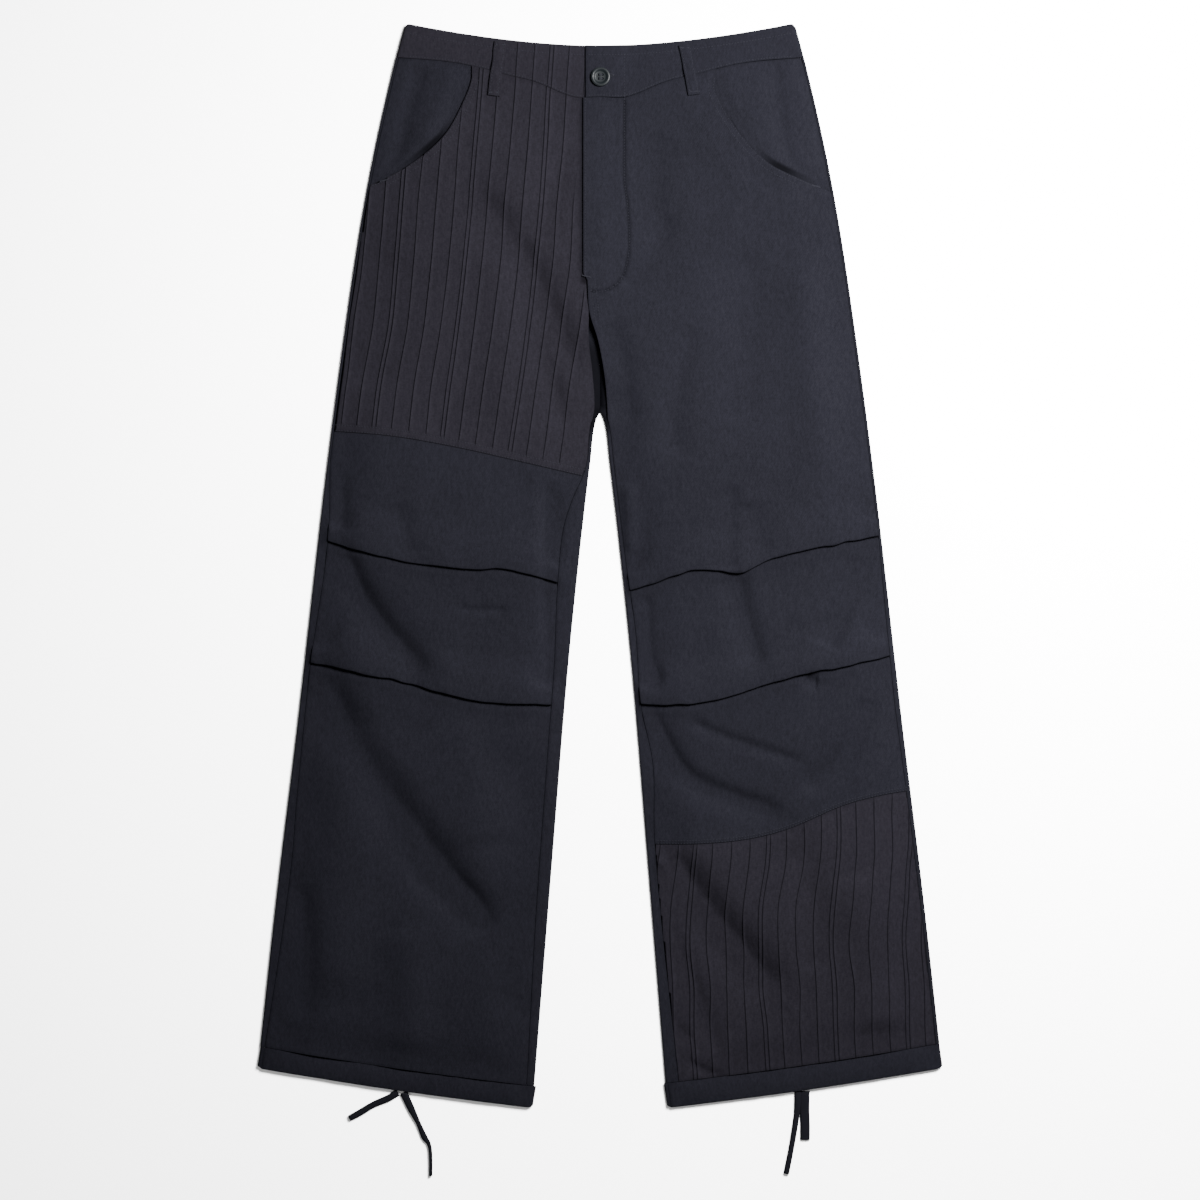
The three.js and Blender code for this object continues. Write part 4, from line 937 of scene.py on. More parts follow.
def facing(leg):
    """The hip's cloth behind the pocket's mouth."""
    s = SIGN[leg]
    line = pocket_line[leg]
    last = line[-1, 1] + 8
    edge = seam_of(side_seam, leg, -s * GAP)
    inner = lambda down: s * np.minimum(
        s * pocket_edge(leg, down) - POCKET_UNDERLAP * (1 - smooth(last - 26, last, down)),
        s * edge(down) - 1.5)
    across = between(inner, edge, np.linspace(0, 1, 50)[None, :])
    rows = between(beside(band_seam, GAP / 2), lambda x: last, np.linspace(0, 1, 60)[:, None])
    down = settle(lambda down: rows(across(down)), np.full((60, 50), 80.0))
    x = across(down)
    away, _, along = near(x, down, line, 40)
    outside = s * x > s * pocket_edge(leg, down)
    open_hip = outside * smooth(2, 16, away)
    full = 1.7 * creased(x, down, HIP_BENDS) + 1.1 + 0.4 * noise(x, down, (22, 34), 71)
    for to_seam in (np.abs(x - edge(down)), down - band_seam(x)):
        full = full - 1.1 * (1 - smooth(0, 14, to_seam))
    height = FACING + CLOTH / 2 + lift(x, down) - EASE * (1 - open_hip) + open_hip * full
    # Painted shadow in the pocket's gaping mouth, painted shade where the front lies over the
    # facing, and painted shade along the seams.
    gape = bell(along - POCKET_GAPE_AT[leg], 0.14)
    shade = np.maximum(0.25 * np.exp(-away / 2.5), 1.1 * gape - smooth(4, 11, away) * (1 + gape))
    shade = np.where(outside, np.clip(shade, 0, 1), 0.8)
    shade = np.maximum(shade, 0.8 * seam_shade(x - edge(down), 1.6))
    shade = np.maximum(shade, 0.9 * seam_shade(down - band_seam(x)))
    x, down, height, shade = (part[:, ::s] for part in (x, down, height, shade))
    return cloth_wall(f"hip_{leg}", to_points(x, down, height), shade)


def band_height(leg, x, down):
    """Height of the middle of a front half of the waistband."""
    lap = (BAND_CLOTH + GAP) * (1 - smooth(14, 36, x)) if leg == "left" else 0
    share = (down - waist_top(x)) / (band_seam(x) - waist_top(x))
    plump = 0.55 * np.sin(math.pi * np.clip(share, 0, 1)) + 0.12 * noise(x, down, (16, 11), 83)
    return BAND_FRONT + BAND_CLOTH / 2 + lap + plump


def band_columns(leg):
    """Columns across a front half of the waistband, from the centre outwards."""
    s = SIGN[leg]
    end = BAND_EDGE if leg == "left" else BAND_UNDERLAP
    flat = BAND_PLEATS_FROM if leg == "right" else end
    places = [(s * x, 0.0) for x in np.arange(s * flat, 186, 3.6)]
    if leg == "right":
        at, rise = pleat_columns(BAND_PINTUCKS)
        at = at + float(thigh_lean(20))
        kept = (at > flat + 1) & (at < BAND_EDGE + 30) & (at < end - 0.5)
        places += [(end, 0.0), *zip(at[kept], rise[kept])]
    return np.array(sorted(places, key=lambda place: s * place[0])).T


def band_front(leg):
    """A front half of the waistband, which turns over the side edge to the back."""
    s = SIGN[leg]
    at, rise = band_columns(leg)
    count = len(at)
    turned, fall = BAND_TURN["inset"], BAND_TURN["fall"]
    corner = lambda x: WAIST_CORNER - np.sqrt(np.maximum(
        0, WAIST_CORNER**2 - np.maximum(0, np.abs(x) - WAIST_CORNER_SIDE) ** 2))
    top = lambda x: waist_top(x) + corner(x)
    foot = beside(band_seam, -GAP / 2)
    leaning = smooth(-116, -96, at) * (1 - smooth(-6, 10, at)) * (leg == "right")

    def place(down):
        plain = at + (thigh_lean(down[:, :count]) - thigh_lean(20)) * leaning
        edge = outer_edge(down[:, count:]) - BAND_CLOTH / 2
        return np.concatenate([plain, s * (edge - turned)], axis=1)

    rows = between(top, foot, np.linspace(0, 1, 22)[:, None])
    down = settle(lambda down: rows(place(down)), np.full((22, count + len(turned)), 30.0))
    x = place(down)
    drop = np.concatenate([np.zeros(count), fall])[None, :]
    height = band_height(leg, x, down) - drop
    height = np.where(drop > 3, np.maximum(height * (drop < 3.5), 0.9 * (drop < 3.5)), height)
    clear = (x < -116) | (x > -88)
    ridge = np.concatenate([rise, np.zeros(len(turned))]) * clear * smooth(-14, -18, x)
    # Painted shade: a dark line at the foot of each pintuck, and along the band's seam and its end.
    line = 0.9 * (ridge > 0) * (ridge < 0.2)
    ridge = ridge * smooth(0, 4, down - top(x)) * smooth(0, 3, foot(x) - down)
    shade = np.maximum(0.4 * seam_shade(down - band_seam(x)), line)
    end = BAND_EDGE if leg == "left" else BAND_UNDERLAP
    shade = np.maximum(shade, 0.5 * seam_shade(x - end, 1.5))
    middle, shade, ridge = (part[:, ::s] for part in (to_points(x, down, height), shade, ridge))
    normal = grid_normals(middle)
    ridge_high = 0.8 * bpy.context.scene.trouser_sizes.pintuck / MM
    outer = middle + normal * (BAND_CLOTH / 2 + ridge_high * ridge)[..., None]
    inner = middle - normal * BAND_CLOTH / 2
    outer[..., 2] = np.maximum(outer[..., 2], 0.05)
    inner[..., 2] = np.maximum(inner[..., 2], FLOOR_CLEARANCE)
    return wall_mesh(f"band_{leg}", outer, inner, shade)


def band_back():
    """The back waistband, with hollows where the belt loops lie."""
    reach = WAIST_HALF - BAND_CLOTH - 4 * GAP - 2
    half = LOOP_WIDE / 2 + GAP
    places = set(np.round(np.linspace(-reach, reach, 110), 2))
    for x in BACK_LOOPS.values():
        places |= {x - half, x + half, x - half - 0.3, x + half + 0.3}
    at = np.array(sorted(places))[None, :]
    share = np.array([0, 0.02, 0.05, 0.06, *np.linspace(0.1, 0.9, 14), 0.94, 0.95, 0.98, 1])
    top, foot = waist_top(at) + 0.8, band_seam(at) - GAP / 2
    down = top + share[:, None] * (foot - top)
    x = at * (1 + 0.045 * np.clip(down / 34, 0, 1) * np.abs(at / reach) ** 6)
    hollow = np.zeros_like(x)
    for place in BACK_LOOPS.values():
        inside = np.abs(at - place) <= half + 0.01
        hollow = np.maximum(hollow, inside * (down > waist_top(at) + 2 - GAP) * (down < foot - 1.4))
    under = to_points(x, down, FLOOR_CLEARANCE + (PITCH - FLOOR_CLEARANCE) * hollow)
    # The back band gets an even painted shade of 0.35.
    return wall_mesh("band_back", to_points(x, down, BAND_BACK), under, 0.35)


def back_loop(name, x):
    """A belt loop between the back waistband and the floor."""
    across = np.linspace(-LOOP_WIDE / 2, LOOP_WIDE / 2, 9)[None, :]
    down = np.linspace(waist_top(x) + 2, band_seam(x) - 2, 24)[:, None]
    middle = to_points(x + across, down, CLOTH / 2 + FLOOR_CLEARANCE)
    upwards = np.array([0, 0, CLOTH / 2])
    return wall_mesh(f"{name}_strip", middle + upwards, middle - upwards)


def loop_surface(leg, share, across):
    """Where a front belt loop's cloth lies, at shares of its length and width."""
    row, s = FRONT_LOOPS[leg], SIGN[leg]
    down = row["top"][1] + (row["foot"][1] - row["top"][1]) * share
    middle_x = row["top"][0] + (row["foot"][0] - row["top"][0]) * share
    waver = 0.35 * noise(60 * share, np.zeros_like(share), (9, 1), 91 + s)
    narrow = LOOP_WIDE / 2 * (1 - 0.06 * np.sin(math.pi * share))
    x = middle_x + across * narrow + waver
    down = down - 0.14 * across * LOOP_WIDE / 2 * s
    base = BAND_FRONT + BAND_CLOTH + 0.85 + CLOTH / 2
    bow = 0.6 * np.sin(math.pi * share) ** 0.6 + 0.8 * smooth(0.3, 0.8, share)
    fold = 0.25 * np.cos(across * 2.6) + 0.12 * noise(x, down, (5, 8), 93)
    return to_points(x, down, base + bow + fold)


def front_loop(leg):
    """A belt loop over the band, turned under at both ends."""
    across = np.linspace(-1, 1, 17)[None, :]
    middle = loop_surface(leg, np.linspace(0, 1, 40)[:, None], across)
    # Painted shade along the belt loop's two edges.
    return cloth_wall(f"belt_loop_{leg}", middle, 0.6 * seam_shade(np.abs(across) * 6 - 6, 0.8))


def hem_band(leg):
    """A hem band right round the leg's end."""
    s = SIGN[leg]
    seam = hem_seam(leg)
    share = np.linspace(0, 1, 13)[:, None]
    turn = np.radians(np.linspace(90, -90, 9))
    low, high = HEM_CLOTH / 2, FRONT + HEM_CLOTH / 2
    radius, level = (high - low) / 2, (high + low) / 2
    outer_x = outer_edge(1020) + share * 3
    inner_x = inner_edge(1040 + share * 20) + share * 1.5
    right = np.maximum(s * outer_x, s * inner_x)
    left = np.minimum(s * outer_x, s * inner_x)
    from_left, to_right = left + HEM_CLOTH / 2 + radius, right - HEM_CLOTH / 2 - radius
    over = from_left + (to_right - from_left) * np.linspace(0, 1, 96)[1:-1]
    down = seam(over) + share * HEM_TALL[leg]
    free = smooth(0, 30, over - left) * smooth(0, 30, right - over)
    puff = 0.9 * np.sin(math.pi * share) ** 0.7 + 0.25
    puff = puff + 0.3 * noise(over, down, (11, 16), 101) + 0.25 * noise(over, down, 40, 103)
    pucker = 0.2 * bell(share, 0.12) * noise(over, np.zeros_like(over), (6, 1), 105)
    under = to_right + (from_left - to_right) * np.linspace(0, 1, 40)[1:-1]
    # Both rolls are drawn from the top down, so the wall crosses itself in the left one.
    x = np.concatenate([
        over, to_right + radius * np.cos(turn), under, from_left - radius * np.cos(turn)], axis=1)
    z = np.concatenate([np.broadcast_to(part, (len(share), part.shape[-1])) for part in (
        high + free * puff + pucker, level + radius * np.sin(turn),
        np.full(under.shape, low), level + radius * np.sin(turn))], axis=1)
    reach = np.clip(np.minimum(right - x, x - left) / HEM_CORNER, 0, 1)
    corner = HEM_CORNER * (1 - np.sqrt(np.clip(1 - (1 - reach) ** 2, 0, 1)))
    start = seam(x) + GAP / 2
    down = start + share * (hem_edge(x) - corner * 0.9 - start)
    ahead_x, ahead_z = (np.roll(part, -1, axis=1) - np.roll(part, 1, axis=1) for part in (x, z))
    size = np.maximum(np.hypot(ahead_x, ahead_z), 1e-9)
    side = np.stack([-ahead_z / size, np.zeros_like(x), ahead_x / size], axis=-1) * HEM_CLOTH / 2
    middle = to_points(x, down, z)
    # Painted shade along the hem band's seam, on its upper face.
    shade = 0.9 * seam_shade(down - seam(x)) * (z > 2)
    return wall_mesh(f"hem_band_{leg}", middle + side, middle - side, shade, ring=True)


def plain_mesh(name, points, faces):
    """A smooth mesh in metres, linked to the scene."""
    mesh = bpy.data.meshes.new(name)
    mesh.from_pydata((np.reshape(points, (-1, 3)) * MM).tolist(), [], faces)
    mesh.shade_smooth()
    piece = bpy.data.objects.new(name, mesh)
    bpy.context.scene.collection.objects.link(piece)
    return piece


def tape(name, row):
    """A drawcord's tail: flat tape, pinched and turned a little along its way."""
    count, facets = 34, 14
    path = curve(row["route"], count)
    spots = np.linspace(0, 1, len(row["route"]))
    at = np.linspace(0, 1, count + 1)
    width = np.interp(at, spots, row["shares"]) * row["wide"] / 2
    roll = np.radians(np.interp(at, spots, row["roll"]))
    along = np.gradient(path, axis=0)
    along[:, 2] = 0
    along /= np.linalg.norm(along, axis=1, keepdims=True)
    across = np.stack([-along[:, 1], along[:, 0], np.zeros_like(at)], axis=1)
    bearing = np.arange(facets) / facets * 2 * math.pi
    c, n = np.cos(bearing), np.sin(bearing)
    flat = np.sign(c) * np.abs(c) ** 0.7
    thick = np.sign(n) * np.abs(n) ** 0.7 * row["thick"] / 2
    dip = -0.12 * row["thick"] * np.cos(bearing * 2)[None, :]
    u = width[:, None] * flat[None, :]
    v = thick[None, :] * (1 + 0.1 * np.sin(at * 9))[:, None] + dip * (n > 0)[None, :]
    turned = u * np.cos(roll)[:, None] - v * np.sin(roll)[:, None] * 0.6
    high = u * np.sin(roll)[:, None] * 0.3 + v
    points = path[:, None, :] + across[:, None, :] * turned[..., None]
    points[..., 2] += high
    points[..., 2] -= np.minimum(points[..., 2].min(axis=1, keepdims=True) - 0.12, 0.9)
    points[..., 2] = np.maximum(points[..., 2], 0.1)
    index = np.arange(len(points) * facets).reshape(-1, facets)
    ahead = np.roll(index, -1, axis=1)
    sides = np.stack([index[:-1], ahead[:-1], ahead[1:], index[1:]], axis=-1).reshape(-1, 4)
    ends = [points[0].mean(axis=0) - along[0] * 0.2, points[-1].mean(axis=0) + along[-1] * 0.3]
    first = index.size
    faces = sides.tolist()
    faces += [[first, int(ahead[0, i]), int(index[0, i])] for i in range(facets)]
    faces += [[first + 1, int(index[-1, i]), int(ahead[-1, i])] for i in range(facets)]
    piece = plain_mesh(name, np.concatenate([points.reshape(-1, 3), ends]), faces)
    centre = points.mean(axis=1)
    return piece, centre, float(np.linalg.norm(np.diff(centre, axis=0), axis=1).sum())


def button_mesh():
    """A round button with a raised rim, a dished face and four sewing holes."""
    top = through(BUTTON_FACE, "out", "high")
    rings = np.concatenate([np.linspace(0.2, 4.6, 24), np.linspace(4.9, 9.65, 20)])
    bearing = np.arange(BUTTON_FACETS) / BUTTON_FACETS * 2 * math.pi
    x = rings[:, None] * np.cos(bearing)[None, :]
    y = rings[:, None] * np.sin(bearing)[None, :]
    hole = np.hypot(np.abs(x) - BUTTON_HOLES, np.abs(y) - BUTTON_HOLES)
    height = top(rings)[:, None] - 1.6 * (1 - smooth(0.75, 1.1, hole))
    under = [(out * np.cos(bearing), out * np.sin(bearing), high) for out, high in BUTTON_BACK]
    rows = [np.stack([x, y, height], axis=-1)]
    rows += [np.stack(np.broadcast_arrays(*row), axis=-1)[None] for row in under]
    points = np.concatenate(rows)
    index = np.arange(len(points) * BUTTON_FACETS).reshape(-1, BUTTON_FACETS)
    ahead = np.roll(index, -1, axis=1)
    faces = np.stack([index[:-1], index[1:], ahead[1:], ahead[:-1]], axis=-1)
    faces = [*faces.reshape(-1, 4).tolist(), index[0].tolist(), index[-1][::-1].tolist()]
    at = np.array([BUTTON_AT[0], LENGTH / 2 - BUTTON_AT[1], BAND_FRONT + 2 * BAND_CLOTH + 2 * GAP])
    return plain_mesh("fly_button", points + at, faces), at


class Socket:
    """A shader's value that is added, multiplied and compared like a number."""

    def __init__(self, shader, socket):
        self.shader, self.socket = shader, socket

    def maths(self, operation, first, second):
        values = {0: first, 1: second}
        node = self.shader.node("ShaderNodeMath", {"operation": operation}, values)
        return Socket(self.shader, node.outputs[0])

    def __add__(self, other):
        return self.maths("ADD", self, other)

    def __sub__(self, other):
        return self.maths("SUBTRACT", self, other)

    def __rsub__(self, other):
        return self.maths("SUBTRACT", other, self)

    def __mul__(self, other):
        return self.maths("MULTIPLY", self, other)

    __radd__, __rmul__ = __add__, __mul__


class Shader:
    """One material and its nodes."""

    def __init__(self, name):
        self.material = bpy.data.materials.new(name)
        self.material.use_nodes = True
        self.tree = self.material.node_tree
        self.tree.nodes.clear()

    def node(self, kind, settings=None, values=None):
        """A node with its settings, and its inputs set or linked."""
        node = self.tree.nodes.new(kind)
        for name, value in (settings or {}).items():
            setattr(node, name, value)
        for key, value in (values or {}).items():
            socket = value.socket if isinstance(value, Socket) else value
            if isinstance(socket, bpy.types.NodeSocket):
                self.tree.links.new(socket, node.inputs[key])
            else:
                node.inputs[key].default_value = socket
        return node

    def out(self, node, name=0):
        return Socket(self, node.outputs[name])

    def noise(self, place, scale, detail=2.0, rough=0.5):
        values = {"Vector": place, "Scale": scale, "Detail": detail, "Roughness": rough}
        return self.out(self.node("ShaderNodeTexNoise", None, values), "Fac")

    def mix(self, share, first, second):
        settings = {"data_type": "RGBA"}
        node = self.node("ShaderNodeMix", settings, {0: share, 6: first, 7: second})
        return self.out(node, 2)

    def finish(self, values):
        shader = self.node("ShaderNodeBsdfPrincipled", None, values)
        output = self.node("ShaderNodeOutputMaterial")
        self.tree.links.new(shader.outputs[0], output.inputs[0])
        return self.material


def tint(colour, share=1.0):
    return (colour[0] * share, colour[1] * share, colour[2] * share, 1.0)


TWILL_ANGLE = 58
CLOTH_GRAIN = 0.75
CLOTH_SHEEN = 0.0005


def cloth_material(name, colour, diagonal):
    """Fine woven cloth: a weave, broken tone, painted shade in its seams, tucks and gaps, and a
    slight sheen.
    """
    s = Shader(name)
    place = s.out(s.node("ShaderNodeTexCoord"), "Object")
    broad = s.noise(place, 4.5, 3.0)
    blotch = s.noise(place, 26.0, 3.0, 0.6)
    fibre = s.noise(place, 620.0, 2.0, 0.7)
    turn = (0.0, 0.0, math.radians(TWILL_ANGLE if diagonal else 0))
    turned = {"Vector": place, "Rotation": turn, "Scale": (1.0, 0.4, 1.0)}
    lines = s.out(s.node("ShaderNodeMapping", None, turned))
    slub = s.noise(lines, 420.0, 2.0, 0.6)
    settings = {"wave_type": "BANDS", "bands_direction": "X"}
    values = {
        "Vector": lines, "Scale": 260.0, "Distortion": 1.2, "Detail": 1.0, "Detail Scale": 2.0}
    weave = s.out(s.node("ShaderNodeTexWave", settings, values), "Fac")
    tone = broad * 0.4 + blotch * 0.2 + (fibre + slub) * CLOTH_GRAIN + weave * 0.12
    middle = 0.5 * (0.4 + 0.2 + 2 * CLOTH_GRAIN + 0.12)
    # The mesh's shade attribute is painted shade: it pulls the colour down towards a fifth of
    # itself where seams, tucks, gaps and folds would lie in shadow.
    shade = s.out(s.node("ShaderNodeAttribute", {"attribute_name": "shade"}), "Fac")
    light = (tone - middle) * 1.5 + 0.5
    clothed = s.mix(light, tint(colour, 0.72), tint(colour, 1.3))
    seen = s.mix(shade * 0.88, clothed, tint(colour, 0.22))
    high = weave * 0.4 + fibre * 0.6 + slub * 0.8
    bump = s.node("ShaderNodeBump", None, {"Strength": 0.35, "Distance": 0.00022, "Height": high})
    rough = 0.8 + (blotch - 0.5) * 0.1
    return s.finish({
        "Base Color": seen, "Roughness": rough, "Normal": s.out(bump),
        "Sheen Weight": CLOTH_SHEEN, "Sheen Roughness": 0.45, "Sheen Tint": (0.75, 0.8, 1.0, 1.0),
        "Specular IOR Level": 0.002,
    })


def plain_material(name, colour, rough, grain, coat=0.0, gloss=0.004):
    s = Shader(name)
    place = s.out(s.node("ShaderNodeTexCoord"), "Object")
    speck = s.noise(place, grain, 3.0, 0.6)
    seen = s.mix(speck, tint(colour, 0.75), tint(colour, 1.25))
    bump = s.node("ShaderNodeBump", None, {"Strength": 0.2, "Distance": 0.0001, "Height": speck})
    return s.finish({
        "Base Color": seen, "Roughness": (speck - 0.5) * 0.15 + rough, "Normal": s.out(bump),
        "Coat Weight": coat, "Coat Roughness": 0.08, "Specular IOR Level": gloss,
    })


def wear(piece, material):
    piece.data.materials.clear()
    piece.data.materials.append(material)


def dress(piece, nodes, material, spare=(0.0, 0.0)):
    """Gives a piece of cloth its material, hangs it from the root and hides its CAD nodes; its
    cut's size is worked out from its wall, but nothing uses it.
    """
    wear(piece, material)
    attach(piece, "root")
    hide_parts(*nodes)
    area = sum(face.area for face in piece.data.polygons) / 2
    corners = np.array([vert.co for vert in piece.data.vertices])
    size = corners.max(axis=0) - corners.min(axis=0)
    flat = [float(size[0] + spare[0]), float(size[1] + spare[1])]
    if area > flat[0] * flat[1]:
        flat[0] = area / flat[1] * 1.002
    flat = [math.ceil(side * 1000) / 1000 for side in flat]


def length_property(name, description, default, least, most):
    return FloatProperty(
        name=name, description=description, default=default, min=least, max=most,
        unit="LENGTH", subtype="DISTANCE")


class TrouserSizes(bpy.types.PropertyGroup):
    """Sizes of the cloth's form and of its sewing."""

    loft: length_property(
        "Loft", "Height of the front's middle over its edges", 0.0046, 0, 0.008)
    unevenness: length_property(
        "Unevenness", "Height of the cloth's soft lumps", 0.0015, 0, 0.004)
    crease_depth: length_property(
        "Crease depth", "Depth of a crease of unit rise", 0.0030, 0, 0.005)
    tuck_rise: length_property(
        "Tuck rise", "How far a knee tuck stands over its own layers", 0.0006, 0, 0.003)
    pintuck: length_property(
        "Pintuck height", "Height of a pintuck over the cloth", 0.0009, 0, 0.003)
    stitch_pitch: length_property(
        "Stitch pitch", "Distance from one stitch to the next", 0.0029, 0.001, 0.01)
    stitch_length: length_property(
        "Stitch length", "Length of one stitch", 0.0023, 0.001, 0.01)
    thread: length_property(
        "Thread width", "Width of the sewing thread", 0.00055, 0.0001, 0.002)
    stitch_seed: IntProperty(name="Seed", description="Seed of the stitches' unevenness", default=7)


def colour_property(name, description, default):
    return FloatVectorProperty(
        name=name, description=description, default=default, size=3, min=0, max=1, subtype="COLOR")


class TrouserColours(bpy.types.PropertyGroup):
    """Colours of the cloth, thread, button, tape and floor."""

    twill: colour_property("Twill", "Colour of the plain cloth", (0.0023, 0.00226, 0.0031))
    pleated: colour_property("Pleated", "Colour of the pintucked cloth", (0.0028, 0.00255, 0.0034))
    thread: colour_property("Thread", "Colour of the sewing thread", (0.0048, 0.0048, 0.0062))
    button: colour_property("Button", "Colour of the button", (0.0014, 0.0018, 0.0021))
    tape: colour_property("Tape", "Colour of the drawcord's tape", (0.0018, 0.0018, 0.0024))
    floor: colour_property("Floor", "Colour of the floor", (0.92, 0.92, 0.92))


def materials():
    """The materials of the garment, made once."""
    if "garment_twill" not in bpy.data.materials:
        c = bpy.context.scene.trouser_colours
        cloth_material("garment_twill", c.twill, True)
        cloth_material("garment_pleated", c.pleated, False)
        plain_material("garment_thread", c.thread, 0.6, 900.0)
        plain_material("garment_button", c.button, 0.45, 60.0, 0.005, 0.035)
        plain_material("garment_tape", c.tape, 0.75, 1100.0)
    names = ("twill", "pleated", "thread", "button", "tape")
    return {name: bpy.data.materials[f"garment_{name}"] for name in names}


def stitch_tree():
    """Nodes that lay one stitch at each step of a line, across it or along it."""
    if "stitch_rows" in bpy.data.node_groups:
        return bpy.data.node_groups["stitch_rows"]
    tree = bpy.data.node_groups.new("stitch_rows", "GeometryNodeTree")
    face = tree.interface
    face.new_socket("Geometry", in_out="OUTPUT", socket_type="NodeSocketGeometry")
    face.new_socket("Geometry", in_out="INPUT", socket_type="NodeSocketGeometry")
    for name in ("Pitch", "Stitch", "Thread", "Turn"):
        face.new_socket(name, in_out="INPUT", socket_type="NodeSocketFloat")
    face.new_socket("Seed", in_out="INPUT", socket_type="NodeSocketInt")
    face.new_socket("Material", in_out="INPUT", socket_type="NodeSocketMaterial")

    def node(kind, settings=None, values=None):
        made = tree.nodes.new(kind)
        for name, value in (settings or {}).items():
            setattr(made, name, value)
        for key, value in (values or {}).items():
            if isinstance(value, bpy.types.NodeSocket):
                tree.links.new(value, made.inputs[key])
            else:
                made.inputs[key].default_value = value
        return made

    given = node("NodeGroupInput").outputs
    lines = node("GeometryNodeMeshToCurve", None, {"Mesh": given["Geometry"]})
    even = node("GeometryNodeResampleCurve", {"mode": "LENGTH"},
                {"Curve": lines.outputs[0], "Length": given["Pitch"]})
    tangent = node("GeometryNodeInputTangent")
    aim = node("FunctionNodeAlignRotationToVector", {"axis": "X"}, {"Vector": tangent.outputs[0]})
    turn = node("ShaderNodeCombineXYZ", None, {"Z": given["Turn"]})
    spin = node("FunctionNodeEulerToRotation", None, {0: turn.outputs[0]})
    turned = node("FunctionNodeRotateRotation", {"rotation_space": "LOCAL"},
                  {0: aim.outputs[0], 1: spin.outputs[0]})
    uneven = node("FunctionNodeRandomValue", {"data_type": "FLOAT"},
                  {2: 0.86, 3: 1.1, "Seed": given["Seed"]})
    long = node("ShaderNodeMath", {"operation": "MULTIPLY"},
                {0: given["Stitch"], 1: uneven.outputs[1]})
    size = node("ShaderNodeCombineXYZ", None,
                {"X": long.outputs[0], "Y": given["Thread"], "Z": given["Thread"]})
    bead = node("GeometryNodeMeshUVSphere", None, {"Segments": 6, "Rings": 5, "Radius": 0.5})
    laid = node("GeometryNodeInstanceOnPoints", None, {
        "Points": even.outputs[0], "Instance": bead.outputs[0],
        "Rotation": turned.outputs[0], "Scale": size.outputs[0]})
    real = node("GeometryNodeRealizeInstances", None, {0: laid.outputs[0]})
    smoothed = node("GeometryNodeSetShadeSmooth", None, {0: real.outputs[0]})
    dyed = node("GeometryNodeSetMaterial", None,
                {"Geometry": smoothed.outputs[0], "Material": given["Material"]})
    node("NodeGroupOutput", None, {0: dyed.outputs[0]})
    return tree


def sew(name, lines, pitch, stitch, thread, turn, material):
    """A piece made of stitches along lines of points given in millimetres."""
    points, edges = [], []
    for line in lines:
        first = len(points)
        points += (np.asarray(line) * MM).tolist()
        edges += [(first + i, first + i + 1) for i in range(len(line) - 1)]
    mesh = bpy.data.meshes.new(f"{name}_lines")
    mesh.from_pydata(points, edges, [])
    guide = bpy.data.objects.new(f"{name}_lines", mesh)
    bpy.context.scene.collection.objects.link(guide)
    tree = stitch_tree()
    modifier = guide.modifiers.new("stitches", "NODES")
    modifier.node_group = tree
    given = {"Pitch": pitch, "Stitch": stitch, "Thread": thread, "Turn": math.radians(turn),
             "Seed": bpy.context.scene.trouser_sizes.stitch_seed, "Material": material}
    for item in tree.interface.items_tree:
        if item.item_type == "SOCKET" and item.in_out == "INPUT" and item.name in given:
            modifier[item.identifier] = given[item.name]
    graph = bpy.context.evaluated_depsgraph_get()
    made = bpy.data.meshes.new_from_object(guide.evaluated_get(graph), depsgraph=graph)
    made.name = name
    piece = bpy.data.objects.new(name, made)
    bpy.context.scene.collection.objects.link(piece)
    bpy.data.objects.remove(guide)
    bpy.data.meshes.remove(mesh)
    if not made.polygons:
        raise RuntimeError(f"{name} has no stitches")
    wear(piece, material)
    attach(piece, "root")
    return piece


def on_front(leg, x, down, raised=0.0):
    """Points on the outer face of a front panel."""
    x, down = np.broadcast_arrays(np.asarray(x, float), np.asarray(down, float))
    return to_points(x, down, front_height(leg, x, down) + CLOTH + raised)


def on_band(leg, x, down):
    x, down = np.broadcast_arrays(np.asarray(x, float), np.asarray(down, float))
    return to_points(x, down, band_height(leg, x, down) + BAND_CLOTH / 2 + STITCH_HIGH)


def beside_pocket(leg, away, start, end):
    """A line on the front that keeps its distance from the pocket's mouth."""
    line = pocket_line[leg]
    along = np.gradient(line, axis=0)
    along /= np.linalg.norm(along, axis=1, keepdims=True)
    off = np.stack([along[:, 1], -along[:, 0]], axis=1) * away * -SIGN[leg]
    made = line + off
    keep = (made[:, 1] > band_seam(made[:, 0]) + 1.5) & (made[:, 1] < end) & (made[:, 1] > start)
    keep &= np.abs(made[:, 0]) < np.abs(side_seam(leg, made[:, 1])) - 1.5
    made = made[keep]
    return on_front(leg, made[:, 0], made[:, 1], STITCH_HIGH)


